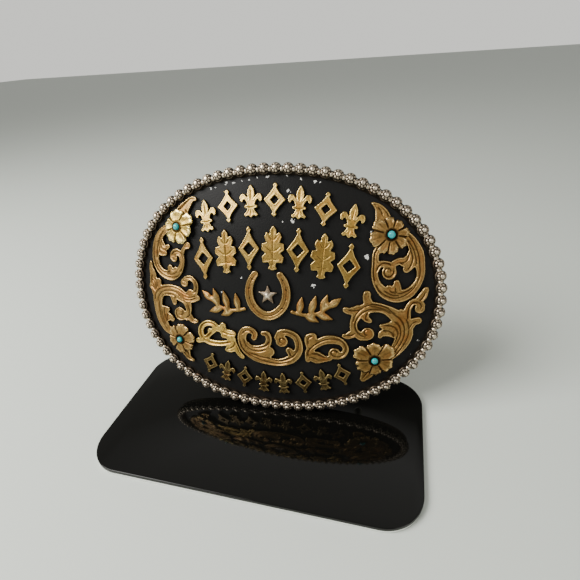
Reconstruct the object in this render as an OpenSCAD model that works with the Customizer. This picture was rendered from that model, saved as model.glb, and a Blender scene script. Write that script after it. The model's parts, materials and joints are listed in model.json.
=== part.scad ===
// Western trophy buckle: a domed oval plate with raised scrolls, four flowers with round stones,
// rows of raised ornaments, a horseshoe and star, and a bead edge. It leans on a thin display stand.
// Millimetres, Z up, with the origin under the middle of the stand's base.
// The face is drawn flat, with X to its right and Y up it, then raised off its dome and leaned back.

/* [Face] */
// Width over the beads
buckle_w = 102; // [96:1:110]
// Height over the beads
buckle_h = 79; // [74:1:86]
// Radius of the ball whose skin is the domed face
dome_r = 150; // [130:5:220]
// Squareness of the oval: 2 is an ellipse and more is squarer
oval_power = 2.15; // [2:0.05:2.4]
// Thickness of the face plate
plate_t = 1.2; // [0.9:0.1:1.8]

/* [Bead edge] */
// Diameter of one bead
bead_d = 3.35; // [3:0.05:3.8]
// Free space between neighbouring beads
bead_gap = 0.25; // [0.2:0.05:0.6]
// Thickness of the band that carries the beads
band_t = 2.1; // [1.8:0.1:2.6]
// How far the band stands above the face plate
band_rise = 0.5; // [0.3:0.1:0.8]
// Plain space between the beads and the ground of the face
edge_margin = 0.25; // [0.1:0.05:0.6]

/* [Ornament] */
// Width of a full scroll stem, in squares of the grid that the ornament is drawn on
stem_w = 3; // [2.6:0.1:3.2]
// Height of the scrolls and ornaments above the face plate
relief_h = 1.1; // [0.8:0.1:1.6]
// Thickness of a flower, which lies on its scroll
flower_t = 0.9; // [0.6:0.1:1.3]
// Half the width of the narrowest gap that a casting keeps open
narrow_gap = 0.3; // [0.1:0.05:0.4]
// Size of the small ornaments as a share of their place in the row, in percent
motif_fill = 100; // [85:1:103]
// Space that solder leaves between two pieces
solder_gap = 0.05; // [0.03:0.01:0.1]

/* [Stones] */
// Diameter of a stone
stone_d = 2.7; // [2.2:0.1:3]
// Height of a stone
stone_h = 1.3; // [1:0.1:1.6]
// Depth of the seat that a stone stands in
seat_depth = 0.4; // [0.2:0.05:0.5]
// Free space round a stone in its seat
seat_gap = 0.1; // [0.05:0.01:0.2]

/* [Belt fittings] */
// Widest belt that passes the loop
belt_w = 38; // [32:1:40]
// Space between the face plate and the loop's bar
loop_gap = 9; // [8:0.5:12]
// Free space between the belt's edges and the loop's feet
belt_room = 0.5; // [0.3:0.1:2]
// Thickness of the loop's wire
wire_d = 3.2; // [2.6:0.1:4]
// Diameter of the loop's feet
loop_foot_d = 5.4; // [4.6:0.2:7]
// Thickness of the loop's feet
loop_foot_t = 0.9; // [0.6:0.1:1.4]
// Distance of the loop from the end of the buckle
loop_inset = 23; // [20:1:28]
// Distance of the prong from the other end of the buckle
prong_inset = 18; // [16:1:24]
// Diameter of the prong
prong_d = 3.2; // [2.6:0.1:4]
// Length of the prong behind its foot
prong_l = 7.5; // [6:0.5:10]
// Diameter of the prong's foot
prong_foot_d = 8; // [6:0.5:10]
// Thickness of the prong's foot
prong_foot_t = 0.9; // [0.6:0.1:1.4]

/* [Stand] */
// Width of the stand's base
base_w = 99.5; // [90:0.5:110]
// Depth of the stand's base
base_d = 53.5; // [50:0.5:64]
// Thickness of the stand's base
base_t = 2; // [1.6:0.1:4]
// Radius of the base's corners
base_corner_r = 11.2; // [6:0.2:14]
// Angle by which the buckle leans back
lean = 18.4; // [14:0.2:22]
// Angle by which the buckle is turned on the base
turn = 2.7; // [-4:0.1:4]
// Distance of the buckle's foot to the right of the base's middle
foot_x = 2.9; // [-4:0.1:4]
// Distance of the buckle's foot behind the base's middle
foot_y = 6.1; // [2:0.1:8]
// Width of the post behind the buckle
post_w = 24; // [16:1:30]
// Thickness of the post
post_t = 3; // [2:0.2:4]
// Height of the post's top above the middle of the face
post_top = 10; // [0:1:16]

/* [Hidden] */
CORNERS = ["upper_left", "upper_right", "lower_left", "lower_right"];
// How many small ornaments the rows have
top_count = 7;
mid_count = 7;
low_count = 8;

silver = "#b9b4aa";
bronze = "#a8834a";
gold = "#d0b068";
black = "#1b1a1d";
turquoise = "#45b8c4";

// Sides of round things, and of the ball that the dome is part of
$fn = 72;
ball_fn = 256;
// How far a cut reaches past what it cuts
over = 1;

// Half sizes of the oval through the bead centres
bead_line = [buckle_w - bead_d, buckle_h - bead_d] / 2;
// Half sizes of the band's outer edge, half way out under the beads, of its inner edge, and of
// the face plate
band_out = bead_line + [1, 1] * bead_d / 4;
band_in = bead_line - [1, 1] * (bead_d / 2 + edge_margin);
plate_half = band_in - [1, 1] * solder_gap;
// Straight sides that an oval outline is drawn with
oval_sides = 120;

// The ornament is drawn on a grid of squares that fills the band's opening
grid_cols = 95;
grid_rows = 72;
square = [2 * band_in[0] / grid_cols, 2 * band_in[1] / grid_rows];
square_size = (square[0] + square[1]) / 2;

// Lifts of each layer above the dome
relief_low = solder_gap;
relief_top = relief_low + relief_h;
flower_low = relief_top + solder_gap;
flower_top = flower_low + flower_t;

// Depth of the dome from its middle to the ends of the buckle's width
dome_depth = dome_r - sqrt(pow(dome_r, 2) - pow(buckle_w / 2, 2));
// The blank that a layer is cut from reaches this far past the dome, above and below
blank_over = 6;

// Height of the dome's skin, raised by lift, over a point of the flat drawing
function dome_z(x, y, lift = 0) = sqrt(pow(dome_r + lift, 2) - x * x - y * y) - dome_r;

// Point of an oval with the given half sizes, at an angle
function oval_point(half, angle) = [
    half[0] * sign(cos(angle)) * pow(abs(cos(angle)), 2 / oval_power),
    half[1] * sign(sin(angle)) * pow(abs(sin(angle)), 2 / oval_power)
];

function oval_outline(half) = [
    for (k = [0 : oval_sides - 1]) oval_point(half, k * 360 / oval_sides)
];

// A walk round the bead line gives the length passed at each degree, to space the beads evenly
walk = [
    for (
        angle = 0, passed = 0;
        angle <= 360;
        passed = passed + norm(oval_point(bead_line, angle + 1) - oval_point(bead_line, angle)),
        angle = angle + 1
    ) [passed, angle]
];
walk_length = walk[360][0];
bead_count = 4 * round(walk_length / (bead_d + bead_gap) / 4);
function bead_place(k) = oval_point(bead_line, lookup(k * walk_length / bead_count, walk));

// How high a bead's centre lies over the dome: nearly half of the bead is sunk in the band
bead_lift = band_rise + bead_d / 10;

// The beads' lowest point, which stands on the base, in the leaning frame
bead_seat = [0, -bead_line[1], dome_z(0, bead_line[1], bead_lift)];
seat_drop = bead_seat[1] * cos(lean) + bead_seat[2] * sin(lean) - bead_d / 2;
seat_back = bead_seat[1] * sin(lean) - bead_seat[2] * cos(lean);

// Puts what is drawn in the face's own frame in its place on the stand
module leaned() {
    translate([foot_x, foot_y, base_t + solder_gap - seat_drop])
        rotate([0, 0, turn])
            translate([0, -seat_back, 0])
                rotate([90 - lean, 0, 0])
                    children();
}

// The ball whose skin is the dome, raised by lift, with its poles off the face
module ball(lift) {
    translate([0, 0, -dome_r]) rotate([90, 0, 0]) sphere(r = dome_r + lift, $fn = ball_fn);
}

// Turns a piece drawn at the middle of the face to stand square on the dome over (x, y)
module on_dome(x, y) {
    out = norm([x, y]);
    translate([0, 0, -dome_r])
        rotate([0, asin(out / dome_r), atan2(y, x)])
            translate([0, 0, dome_r])
                rotate([0, 0, -atan2(y, x)])
                    children();
}

// A flat outline made into a layer that follows the dome between two lifts
module layer(low, top) {
    difference() {
        intersection() {
            translate([0, 0, -dome_depth - blank_over])
                linear_extrude(dome_depth + 2 * blank_over) children();
            ball(top);
        }
        ball(low);
    }
}

// A smooth curve through rows, with this many steps from each row to the next
steps = 4;
function bend(a, b, c, d, t) =
    0.5 * (2 * b + (c - a) * t + (2 * a - 5 * b + 4 * c - d) * t * t
        + (3 * b - a - 3 * c + d) * t * t * t);
function smooth(rows) = len(rows) < 3 ? rows : [
    for (i = [0 : len(rows) - 2])
        for (s = [0 : steps - 1])
            bend(rows[max(i - 1, 0)], rows[i], rows[i + 1], rows[min(i + 2, len(rows) - 1)], s / steps),
    rows[len(rows) - 1]
];

// Rows of a stroke hold x and y in squares of the grid, and width in percent of a full stem
X = 0;
Y = 1;
WIDTH = 2;
// Shortest step between rows that still has a heading
least_step = 0.001;
function placed(row) =
    [row[X] * square[0], row[Y] * square[1], row[WIDTH] / 100 * stem_w * square_size];
function flat(row) = [row[X], row[Y]];
function heading(rows, i) =
    let (d = flat(rows[min(i + 1, len(rows) - 1)]) - flat(rows[max(i - 1, 0)]))
    d / max(norm(d), least_step);
function side(rows, i, s) =
    flat(rows[i]) + s * rows[i][WIDTH] / 2 * [-heading(rows, i)[1], heading(rows, i)[0]];

// One stroke: a ribbon of changing width with round ends. A single row is a disc. Discs along
// the ribbon, a little narrower than it, close what a tight bend leaves open.
link_share = 0.95;
link_sides = 12;
end_sides = 20;
module stroke(rows) {
    line = smooth([for (row = rows) placed(row)]);
    last = len(line) - 1;
    if (last > 0) {
        polygon([
            for (i = [0 : last]) side(line, i, 1),
            for (i = [last : -1 : 0]) side(line, i, -1)
        ]);
    }
    for (i = [0 : last]) {
        end = i == 0 || i == last;
        ahead = heading(line, i);
        translate(flat(line[i]))
            rotate(atan2(ahead[1], ahead[0]))
                circle(d = line[i][WIDTH] * (end ? 1 : link_share), $fn = end ? end_sides : link_sides);
    }
}

// All strokes of one casting, with the gaps closed that are too narrow to cast
module casting_outline(strokes) {
    offset(r = -narrow_gap, $fn = 16) offset(delta = narrow_gap) {
        for (rows = strokes) stroke(rows);
        children();
    }
}

module casting(strokes, finish = bronze) {
    color(finish) leaned() layer(relief_low, relief_top) casting_outline(strokes) children();
}

// A flower: centre in squares, then rows of petals, each with the angle of the notch where it
// begins, going round against the clock, and its reach in squares
PETALS = 2;
NOTCH = 0;
REACH = 1;
upper_left = [-31.9, 20.2, [
    [10, 6.1], [60, 5.6], [135, 5], [200, 5.3], [262, 5.3], [318, 5]
]];
upper_right = [33.6, 19.2, [
    [30, 5], [75, 5.3], [115, 5.8], [165, 5.7], [225, 5.5], [262, 5.5], [305, 5.4], [352, 5.5]
]];
lower_left = [-32.9, -17, [
    [42, 5.4], [110, 5.3], [165, 5.1], [232, 5.5], [290, 5.1], [345, 5.4]
]];
lower_right = [30.8, -18.7, [
    [5, 6.9], [62, 5.5], [122, 6.4], [182, 5.7], [253, 5.6], [305, 6.2]
]];

function flower_at(f) = [f[X] * square[0], f[Y] * square[1]];
petal_sides = 14;
notch_depth = 0.2;
notch_power = 0.6;
ruffle_depth = 0.03;
ruffles = 3;

// Reach along a petal, from its own notch at 0 to the next one at 1
function petal_reach(along) =
    1 - notch_depth * (1 - pow(sin(180 * along), notch_power))
    - ruffle_depth * cos(360 * ruffles * along);
function petal_end(petals, i) = i < len(petals) - 1 ? petals[i + 1][NOTCH] : petals[0][NOTCH] + 360;
module flower_outline(f) {
    petals = f[PETALS];
    translate(flower_at(f))
        polygon([
            for (i = [0 : len(petals) - 1])
                for (k = [0 : petal_sides - 1])
                    let (
                        along = k / petal_sides,
                        angle = petals[i][NOTCH] + along * (petal_end(petals, i) - petals[i][NOTCH]),
                        blend = (petals[i][REACH] + petals[max(i - 1, 0)][REACH]) / 2,
                        reach = k == 0 ? blend : petals[i][REACH]
                    )
                    reach * square_size * petal_reach(along) * [cos(angle), sin(angle)]
        ]);
}

module flower(f, finish = bronze) {
    color(finish) leaned() difference() {
        layer(flower_low, flower_top) flower_outline(f);
        on_dome(flower_at(f)[0], flower_at(f)[1])
            translate([0, 0, flower_top - seat_depth])
                cylinder(d = stone_d + 2 * seat_gap, h = seat_depth + over);
    }
}

// The hidden pad under a flower, which joins its scroll's leaf and stem. Its radius in squares.
pad_r = 3.4;
module flower_pad(f) {
    translate(flower_at(f)) circle(r = pad_r * square_size, $fn = 24);
}

// A round stone: a short drum with a domed top, whose radius is a little over the stone's own
stone_ball_r = 1.1 * stone_d / 2;
module stone(f) {
    low = flower_top - seat_depth + solder_gap;
    color(turquoise) leaned() on_dome(flower_at(f)[0], flower_at(f)[1]) intersection() {
        translate([0, 0, low]) cylinder(d = stone_d, h = stone_h);
        translate([0, 0, low + stone_h - stone_ball_r]) rotate([90, 0, 0]) sphere(r = stone_ball_r);
    }
}

// Rows of strokes: x, y, width
upper_left_strokes = [
    // Stem down the outside, round the bottom and up into the eye
    [[-36, 20, 90], [-39.1, 18, 93], [-40.8, 14.6, 107], [-41.5, 10.6, 93], [-40.9, 7.3, 83],
     [-38.5, 5, 93], [-35.2, 4.6, 118], [-32.4, 5.9, 87], [-30.9, 8.5, 62], [-31, 11, 66],
     [-32.6, 12.5, 66], [-34.2, 11.9, 63], [-34.6, 10.6, 60]],
    [[-33.9, 10.3, 84]],
    // Knob at the top right
    [[-31, 11.6, 53], [-29.9, 13.7, 45], [-28.7, 14.6, 78]],
    // Two fronds inside the stem
    [[-40, 17, 80], [-39, 14.7, 80], [-37.7, 13.4, 66], [-36.2, 13.9, 48]],
    [[-40.6, 14.3, 87], [-39.3, 12.1, 87], [-37.6, 11.7, 60]],
    // Lobes on the bottom turn
    [[-35, 5, 100], [-35.6, 7.1, 66]],
    [[-34.4, 5.6, 90], [-33.4, 6.6, 63]],
    // Leaf above the flower
    [[-31.4, 22.6, 160], [-30.6, 25.2, 145], [-28.9, 27.3, 100], [-27.2, 28.9, 60], [-26.1, 29, 40]]
];

lower_left_strokes = [
    // Stem from the flower up the outside, over the arch and down to the eye
    [[-34.6, -15.6, 80], [-38.6, -14.6, 107], [-40.7, -11, 135], [-41.7, -7, 120], [-41.5, -3.2, 133],
     [-39.2, -1, 120], [-35.8, -0.6, 138], [-32.2, -1.6, 150], [-29.8, -3.5, 113], [-29.1, -6.4, 73],
     [-30.2, -9.3, 70]],
    [[-32.6, -8.3, 155]],
    // Lobe tip at the right and the small tip below it
    [[-30, -2.4, 120], [-27, -2.3, 97], [-25.5, -2.1, 63]],
    [[-29.2, -8.6, 78], [-27.8, -10, 66], [-26.4, -10.1, 45]],
    // Two fronds inside the stem
    [[-40.8, -8, 100], [-38.6, -7.6, 87], [-37.7, -7.3, 53]],
    [[-40, -11, 100], [-37.4, -10, 87], [-36.1, -10.6, 60]],
    // Leaf tips at the top left
    [[-42.2, -2.5, 107], [-43, 0.7, 107], [-43.1, 4, 93], [-43.8, 6.6, 52], [-43.8, 8.2, 33]],
    [[-42, -2, 100], [-41.2, 1.2, 100], [-40.8, 2.1, 73]],
    [[-43.6, 0.2, 95]],
    // Lobe under the arch
    [[-35, -2.5, 80], [-34.6, -4.5, 60]],
    // Small curl over the lobe tip, with its eye, and a small lobe in it
    [[-27, -2, 60], [-25.9, 0.6, 56], [-26.1, 2.9, 56], [-27.9, 4.3, 56], [-29.8, 3.7, 60]],
    [[-30.2, 2.6, 95]],
    [[-28.9, -1.1, 66], [-28.1, 0, 45], [-27.4, -0.4, 50]],
    // Leaf under the flower
    [[-32.4, -19, 150], [-32, -22, 120], [-31, -24.2, 66], [-29.5, -24.9, 38]]
];

upper_right_strokes = [
    // Stem down the outside, round the bottom and up the inside to the flower
    [[37, 20, 80], [39.6, 17.6, 100], [41.6, 14, 125], [42.7, 10.4, 97], [43, 7.6, 78], [42.1, 4.8, 78],
     [39.7, 2.2, 107], [36.4, 1.4, 128], [33.2, 2.4, 113], [31, 4.6, 80], [29.9, 7.5, 66],
     [29.9, 11, 68], [30, 14, 66], [31.4, 16, 80]],
    // Turn into the eye
    [[30.2, 9, 53], [31.2, 10.8, 62], [33.2, 10.9, 62], [34.8, 10.2, 60], [35.1, 8.9, 55]],
    [[34, 8.5, 142]],
    // Two fronds inside the stem
    [[40.6, 15.6, 87], [39.8, 13.2, 80], [38.2, 11.7, 80], [36.7, 11.8, 66], [35.4, 11.2, 64]],
    [[41, 12.6, 100], [39.8, 10.6, 87], [38.8, 9.4, 70]],
    [[39.4, 12, 80], [37.6, 11, 50]],
    // Lobes on the bottom turn
    [[36.6, 2.6, 100], [36.4, 4.6, 75], [36.3, 5.4, 60]],
    [[35, 2.9, 100], [34.2, 3.9, 60]],
    // Leaf above the flower
    [[31.9, 21.6, 175], [31.2, 24.6, 140], [30, 26.9, 80], [28.5, 28, 33]]
];

lower_right_strokes = [
    // Broad stem up from the flower, over the arch and down to the eye
    [[35.6, -17.8, 100], [38.1, -14.6, 140], [39.5, -10.6, 175], [38.5, -6.7, 165], [36, -4.1, 120],
     [32.8, -2.4, 93], [29.3, -2, 113], [26.2, -3.5, 113], [24.5, -6.6, 76], [24.8, -9.5, 80],
     [26.7, -11.2, 87], [28.5, -11.4, 73]],
    [[28.7, -10.4, 133]],
    // Knob and lobe at the top left
    [[25.8, -2.6, 87], [23.4, -3.3, 73], [22, -2.9, 60]],
    [[28.8, -1.2, 93], [28, 0.6, 80], [28, 1.9, 78]],
    // Hook under the arch
    [[27.6, -3.6, 90], [27.9, -5.3, 73], [29.1, -6.2, 50]],
    // Two fronds inside the stem
    [[37.6, -7, 100], [35, -7.9, 87], [32.7, -7.9, 45]],
    [[37.6, -10.6, 100], [35, -9.9, 87], [33, -10.2, 73], [32.4, -11.1, 47]],
    // Knob at the lower left
    [[24.7, -10.2, 87], [22.9, -11.2, 73], [21.8, -11.2, 47]],
    // Knob and curl at the right, and the leaf over them
    [[40.4, -9, 87], [41.9, -6.7, 80], [43.3, -6.2, 73]],
    [[39.8, -5.6, 87], [40, -2.6, 66], [41.1, -0.6, 63], [42.8, -0.2, 66], [44, -1.4, 66]],
    [[43.5, -2.4, 100]],
    [[42.9, 0, 74], [44.2, 1.6, 82], [44.9, 3.3, 56]],
    [[38.4, -4.2, 53], [38.1, -3.1, 43]],
    // Leaf under the flower
    [[30, -20, 160], [29.2, -23.6, 140], [28, -25.9, 73]]
];

bottom_left_strokes = [
    // Ring, open where its inner leaf turns in
    [[-13.4, -14.9, 60], [-15.4, -16.3, 60], [-18.6, -17, 63], [-22.4, -16.8, 73], [-24.8, -15, 73],
     [-25, -12.6, 66], [-23.6, -10.8, 66], [-21.4, -10.1, 66], [-19.4, -10.9, 66], [-18.2, -12, 60]],
    [[-23.6, -15.8, 53], [-22, -14.2, 56], [-20.4, -12.7, 60], [-19.1, -11.6, 60]],
    [[-21.6, -12.7, 56]],
    // Lobe with its fronds
    [[-13.6, -13, 80], [-15.8, -13, 97], [-17, -11.8, 90], [-16.8, -10.5, 70]],
    [[-14.4, -13.9, 80], [-16.9, -13.9, 56]],
    // Knob at the left and leaves below
    [[-24.6, -16.5, 60], [-26.4, -16.9, 60]],
    [[-13.4, -15.6, 60], [-13.2, -17.4, 80], [-14.4, -18.6, 73], [-15.8, -18.8, 53]],
    [[-12.8, -17.2, 60], [-11.9, -19.4, 60], [-10.6, -20.8, 50]]
];

bottom_middle_strokes = [
    // Long stem from the left eye, under the middle and up to the right eye
    [[-6.3, -13.6, 60], [-6, -12.1, 66], [-7.6, -11, 75], [-9.6, -11.8, 93], [-10.4, -14.4, 100],
     [-9.3, -17.6, 110], [-6, -20, 120], [-2, -21.3, 93], [2, -21.5, 87], [5.6, -20, 100],
     [7.8, -17.4, 90], [8, -14.4, 83], [6.8, -12, 80], [4.3, -10.9, 73], [2.1, -11.3, 66], [1.1, -12.9, 53]],
    [[2.7, -14, 130]],
    // Ring round the left eye
    [[-9, -15.8, 60], [-7.4, -17, 60], [-5, -17.1, 66], [-2.4, -16.1, 73], [-1.4, -13.9, 66],
     [-1.9, -12, 66], [-3.3, -11.8, 50]],
    // Metal and lobe between ring and stem
    [[-7, -18.6, 90], [-3.6, -19, 130], [-1.4, -18, 115]],
    // Lobe inside the right turn
    [[6.2, -18.8, 87], [5, -17, 73]]
];

bottom_right_strokes = [
    // Stem up from the lower left, over the arch and into the eye
    [[10.9, -19.8, 60], [11.2, -17, 80], [13, -14.8, 76], [15.7, -13, 92], [18.7, -12.6, 93],
     [21.2, -13.5, 73], [22.4, -15.6, 66], [21.5, -17.7, 66], [19.8, -18.4, 60]],
    [[19, -17.3, 127]],
    // Lobe above the stem
    [[11.4, -15.6, 66], [11, -13.6, 76], [11.1, -12.3, 80], [12.4, -11.8, 80]],
    [[12.4, -11.9, 73], [12.7, -13.2, 85]],
    // Leaf below the arch
    [[11.8, -18.4, 106], [13.8, -18.9, 138], [16.2, -19.2, 70], [17.6, -18.9, 60]]
];

// Small ornaments, drawn one unit high round their middle: half outlines, mirrored to both sides
lozenge_half = [[0, 0.5], [0.08, 0.42], [0.04, 0.36], [0.13, 0.22], [0.28, 0.06], [0.34, 0],
    [0.28, -0.06], [0.13, -0.22], [0.04, -0.36], [0.08, -0.42], [0, -0.5]];
lily_half = [[0, 0.5], [0.1, 0.32], [0.12, 0.2], [0.07, 0.04], [0.11, 0.1], [0.2, 0.21],
    [0.3, 0.21], [0.36, 0.11], [0.34, 0], [0.26, -0.05], [0.25, 0.03], [0.2, 0.05], [0.15, -0.02],
    [0.12, -0.11], [0.2, -0.13], [0.2, -0.2], [0.1, -0.22], [0.14, -0.31], [0.23, -0.4],
    [0.17, -0.46], [0.08, -0.42], [0, -0.5]];
leaf_half = [[0, 0.5], [0.1, 0.4], [0.1, 0.3], [0.2, 0.36], [0.27, 0.24], [0.2, 0.12],
    [0.33, 0.1], [0.35, -0.04], [0.23, -0.11], [0.34, -0.2], [0.3, -0.33], [0.12, -0.32],
    [0.09, -0.4], [0.15, -0.46], [0, -0.5]];
function mirrored(half) = concat(
    half,
    [for (i = [len(half) - 2 : -1 : 1]) [-half[i][0], half[i][1]]]
);

// The hole through a lozenge
lozenge_hole = [[0, 0.14], [0.13, 0], [0, -0.14], [-0.13, 0]];

// Kinds of small ornament, which the tables name
LOZENGE = 0;
LILY = 1;
LEAF = 2;
half_outlines = [lozenge_half, lily_half, leaf_half];

// Rows of a motif table: x, y and height in squares of the grid, tilt in degrees, and kind
MOTIF_H = 2;
MOTIF_TILT = 3;
MOTIF_KIND = 4;
top_motifs = [
    [-22, 24, 10.2, 10, LILY], [-14.6, 27, 10, 7, LOZENGE], [-7.2, 28.6, 10, 3, LILY],
    [0.1, 29, 10, 0, LOZENGE],
    [7.6, 28.3, 10, -3, LILY], [15.2, 26.4, 10, -7, LOZENGE], [22.8, 23.2, 10.2, -10, LILY]
];
mid_motifs = [
    [-22.8, 10.9, 13.6, 6, LOZENGE], [-15.1, 13.4, 13.6, 4, LEAF], [-7.5, 14.6, 13.4, 2, LOZENGE],
    [0, 15, 13.4, 0, LEAF],
    [7.5, 14.5, 13.4, -2, LOZENGE], [14.9, 13, 13.6, -4, LEAF], [22.4, 10.2, 13.6, -6, LOZENGE]
];
low_motifs = [
    [-22.6, -24.8, 8.4, -18, LOZENGE], [-16.7, -26.8, 8.4, -13, LILY],
    [-10.4, -28.3, 8.4, -8, LOZENGE], [-3.9, -29.2, 8.4, -3, LILY],
    [2.7, -29.2, 8.4, 3, LILY], [9.3, -28.3, 8.4, 8, LOZENGE],
    [15.6, -26.8, 8.4, 13, LILY], [21.5, -24.6, 8.4, 18, LOZENGE]
];

// The middle row's ornaments are slimmer for their height
mid_width = 0.75;
motif_round = 0.25;
module motif(m, width = 1) {
    height = m[MOTIF_H] * square_size * motif_fill / 100;
    color(gold) leaned() layer(relief_low, relief_top)
        translate([m[X] * square[0], m[Y] * square[1]]) rotate(m[MOTIF_TILT]) difference() {
            offset(r = motif_round, $fn = 12) offset(delta = -motif_round)
                polygon([for (p = mirrored(half_outlines[m[MOTIF_KIND]])) [p[0] * width, p[1]] * height]);
            if (m[MOTIF_KIND] == LOZENGE) polygon(lozenge_hole * height);
        }
}

// Horseshoe round a star, between two sprays of leaves
shoe_at = [-1.6, 0.6];
shoe_strokes = [
    [[-5.5, 7, 70], [-6.9, 4.6, 80], [-7.5, 1.2, 88], [-6.6, -2.4, 92], [-4.2, -5, 95], [-1.6, -5.9, 96],
     [1, -5, 95], [3.4, -2.4, 92], [4.3, 1.2, 88], [3.7, 4.6, 80], [2.3, 7, 70]]
];
star_r = 3.3;
star_waist = 0.42;
star_points = 5;

// Leaves of the spray: foot x and y, angle and length. Each is widest half way along.
LEAF_ANGLE = 2;
LEAF_LENGTH = 3;
leaf_rows = [
    [-11.2, -4.9, 100, 5.4], [-14.6, -5, 106, 6.2], [-18, -3.9, 108, 5.6], [-20, -2.6, 140, 4.8],
    [-13, -5.1, 205, 4.6], [-16.6, -4.6, 198, 5]
];
leaf_foot_w = 26;
leaf_w = 78;
leaf_tip_w = 14;
function leaf_stroke(row) =
    let (
        along = row[LEAF_LENGTH] * [cos(row[LEAF_ANGLE]), sin(row[LEAF_ANGLE])],
        foot = [row[X], row[Y]],
        half = foot + along / 2,
        tip = foot + along
    )
    [[foot[0], foot[1], leaf_foot_w], [half[0], half[1], leaf_w], [tip[0], tip[1], leaf_tip_w]];
spray_stem = [[-9.2, -4.3, 38], [-12.8, -5.1, 38], [-16.8, -4.5, 36], [-20, -2.6, 30]];
left_spray = concat([spray_stem], [for (row = leaf_rows) leaf_stroke(row)]);
function swapped(strokes) = [
    for (rows = strokes) [for (row = rows) [2 * shoe_at[0] - row[X], row[Y], row[WIDTH]]]
];

module face_plate() {
    color(black) leaned() layer(-plate_t, 0) polygon(oval_outline(plate_half));
}

module bead_edge() {
    color(silver) leaned() {
        layer(band_rise - band_t, band_rise) difference() {
            polygon(oval_outline(band_out));
            polygon(oval_outline(band_in));
        }
        for (k = [0 : bead_count - 1]) {
            place = bead_place(k);
            translate([place[0], place[1], dome_z(place[0], place[1], bead_lift)]) sphere(d = bead_d);
        }
    }
}

module star() {
    color(silver) leaned() layer(relief_low, relief_top)
        translate([shoe_at[0] * square[0], shoe_at[1] * square[1]])
            polygon([
                for (k = [0 : 2 * star_points - 1])
                    let (angle = 90 + k * 180 / star_points)
                    star_r * square_size * (k % 2 == 0 ? 1 : star_waist) * [cos(angle), sin(angle)]
            ]);
}

// Places of the loop and the prong, to the right and left of the middle
loop_x = buckle_w / 2 - loop_inset;
prong_x = buckle_w / 2 - prong_inset;
// The loop's bar stands this far behind the middle of the face, and its legs this far to the sides
bar_z = dome_z(loop_x, 0, -plate_t) - loop_gap - wire_d / 2;
leg_y = belt_w / 2 + belt_room + loop_foot_d / 2;

module belt_loop() {
    color(silver) leaned() intersection() {
        union() {
            translate([loop_x, leg_y, bar_z]) rotate([90, 0, 0]) cylinder(d = wire_d, h = 2 * leg_y);
            for (s = [-1, 1]) {
                translate([loop_x, s * leg_y, bar_z]) sphere(d = wire_d);
                translate([loop_x, s * leg_y, bar_z]) cylinder(d = wire_d, h = -bar_z);
                translate([loop_x, s * leg_y, dome_z(loop_x, leg_y, -plate_t) - loop_foot_t])
                    cylinder(d = loop_foot_d, h = loop_foot_t + wire_d);
            }
        }
        ball(-plate_t - solder_gap);
    }
}

// The prong stands square on the plate's hollow back, and its flat foot is clear of that back
// round its rim
prong_lift = dome_z(prong_foot_d / 2, 0, -plate_t - solder_gap);
module belt_prong() {
    color(silver) leaned() on_dome(-prong_x, 0) translate([0, 0, prong_lift]) mirror([0, 0, 1]) {
        cylinder(d = prong_foot_d, h = prong_foot_t);
        cylinder(d = prong_d, h = prong_foot_t + prong_l);
        translate([0, 0, prong_foot_t + prong_l]) sphere(d = prong_d);
    }
}

module stand_base() {
    color(black)
        linear_extrude(base_t)
            offset(r = base_corner_r, $fn = 96)
                square([base_w - 2 * base_corner_r, base_d - 2 * base_corner_r], center = true);
}

// The post is a strip that leans and bends with the buckle's back, clear of its band. It stands
// on the base and ends in a round top.
post_front = band_rise - band_t - solder_gap;
post_round_y = post_top - post_w / 2;
module stand_post() {
    color(black) difference() {
        leaned() layer(post_front - post_t, post_front) {
            translate([-post_w / 2, post_round_y - buckle_h]) square([post_w, buckle_h]);
            translate([0, post_round_y]) circle(d = post_w, $fn = 96);
        }
        translate([-base_w, -base_w, base_t + solder_gap - 2 * base_w]) cube(2 * base_w);
    }
}

corner_strokes = [upper_left_strokes, upper_right_strokes, lower_left_strokes, lower_right_strokes];
flowers = [upper_left, upper_right, lower_left, lower_right];
flower_finishes = [gold, bronze, bronze, bronze];

face_plate();
bead_edge();
for (k = [0 : len(CORNERS) - 1]) {
    casting(corner_strokes[k]) flower_pad(flowers[k]);
    flower(flowers[k], flower_finishes[k]);
    stone(flowers[k]);
}
casting(bottom_left_strokes, gold);  // scroll_bottom_left
casting(bottom_middle_strokes);  // scroll_bottom_middle
casting(bottom_right_strokes);  // scroll_bottom_right
for (k = [1 : top_count])
    motif(top_motifs[k - 1]);
for (k = [1 : mid_count])
    motif(mid_motifs[k - 1], mid_width);
for (k = [1 : low_count])
    motif(low_motifs[k - 1]);
casting(shoe_strokes);  // horseshoe
star();
casting(left_spray);  // spray_left
casting(swapped(left_spray));  // spray_right
belt_loop();
belt_prong();
stand_base();
stand_post();
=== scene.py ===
# %% [markdown]
# # Looks of a western trophy buckle on its stand
#
# The solids of this buckle come from its CAD source. This script dresses them: it carves the raised
# castings, cups the flower petals, turns each bead into a small rosette, and gives every piece its
# finish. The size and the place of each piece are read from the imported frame, so the looks stay
# inside the real dimensions.


# %% Load the frame
import json
import math

import bpy
import numpy as np
from mathutils import Matrix, Vector, kdtree

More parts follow.
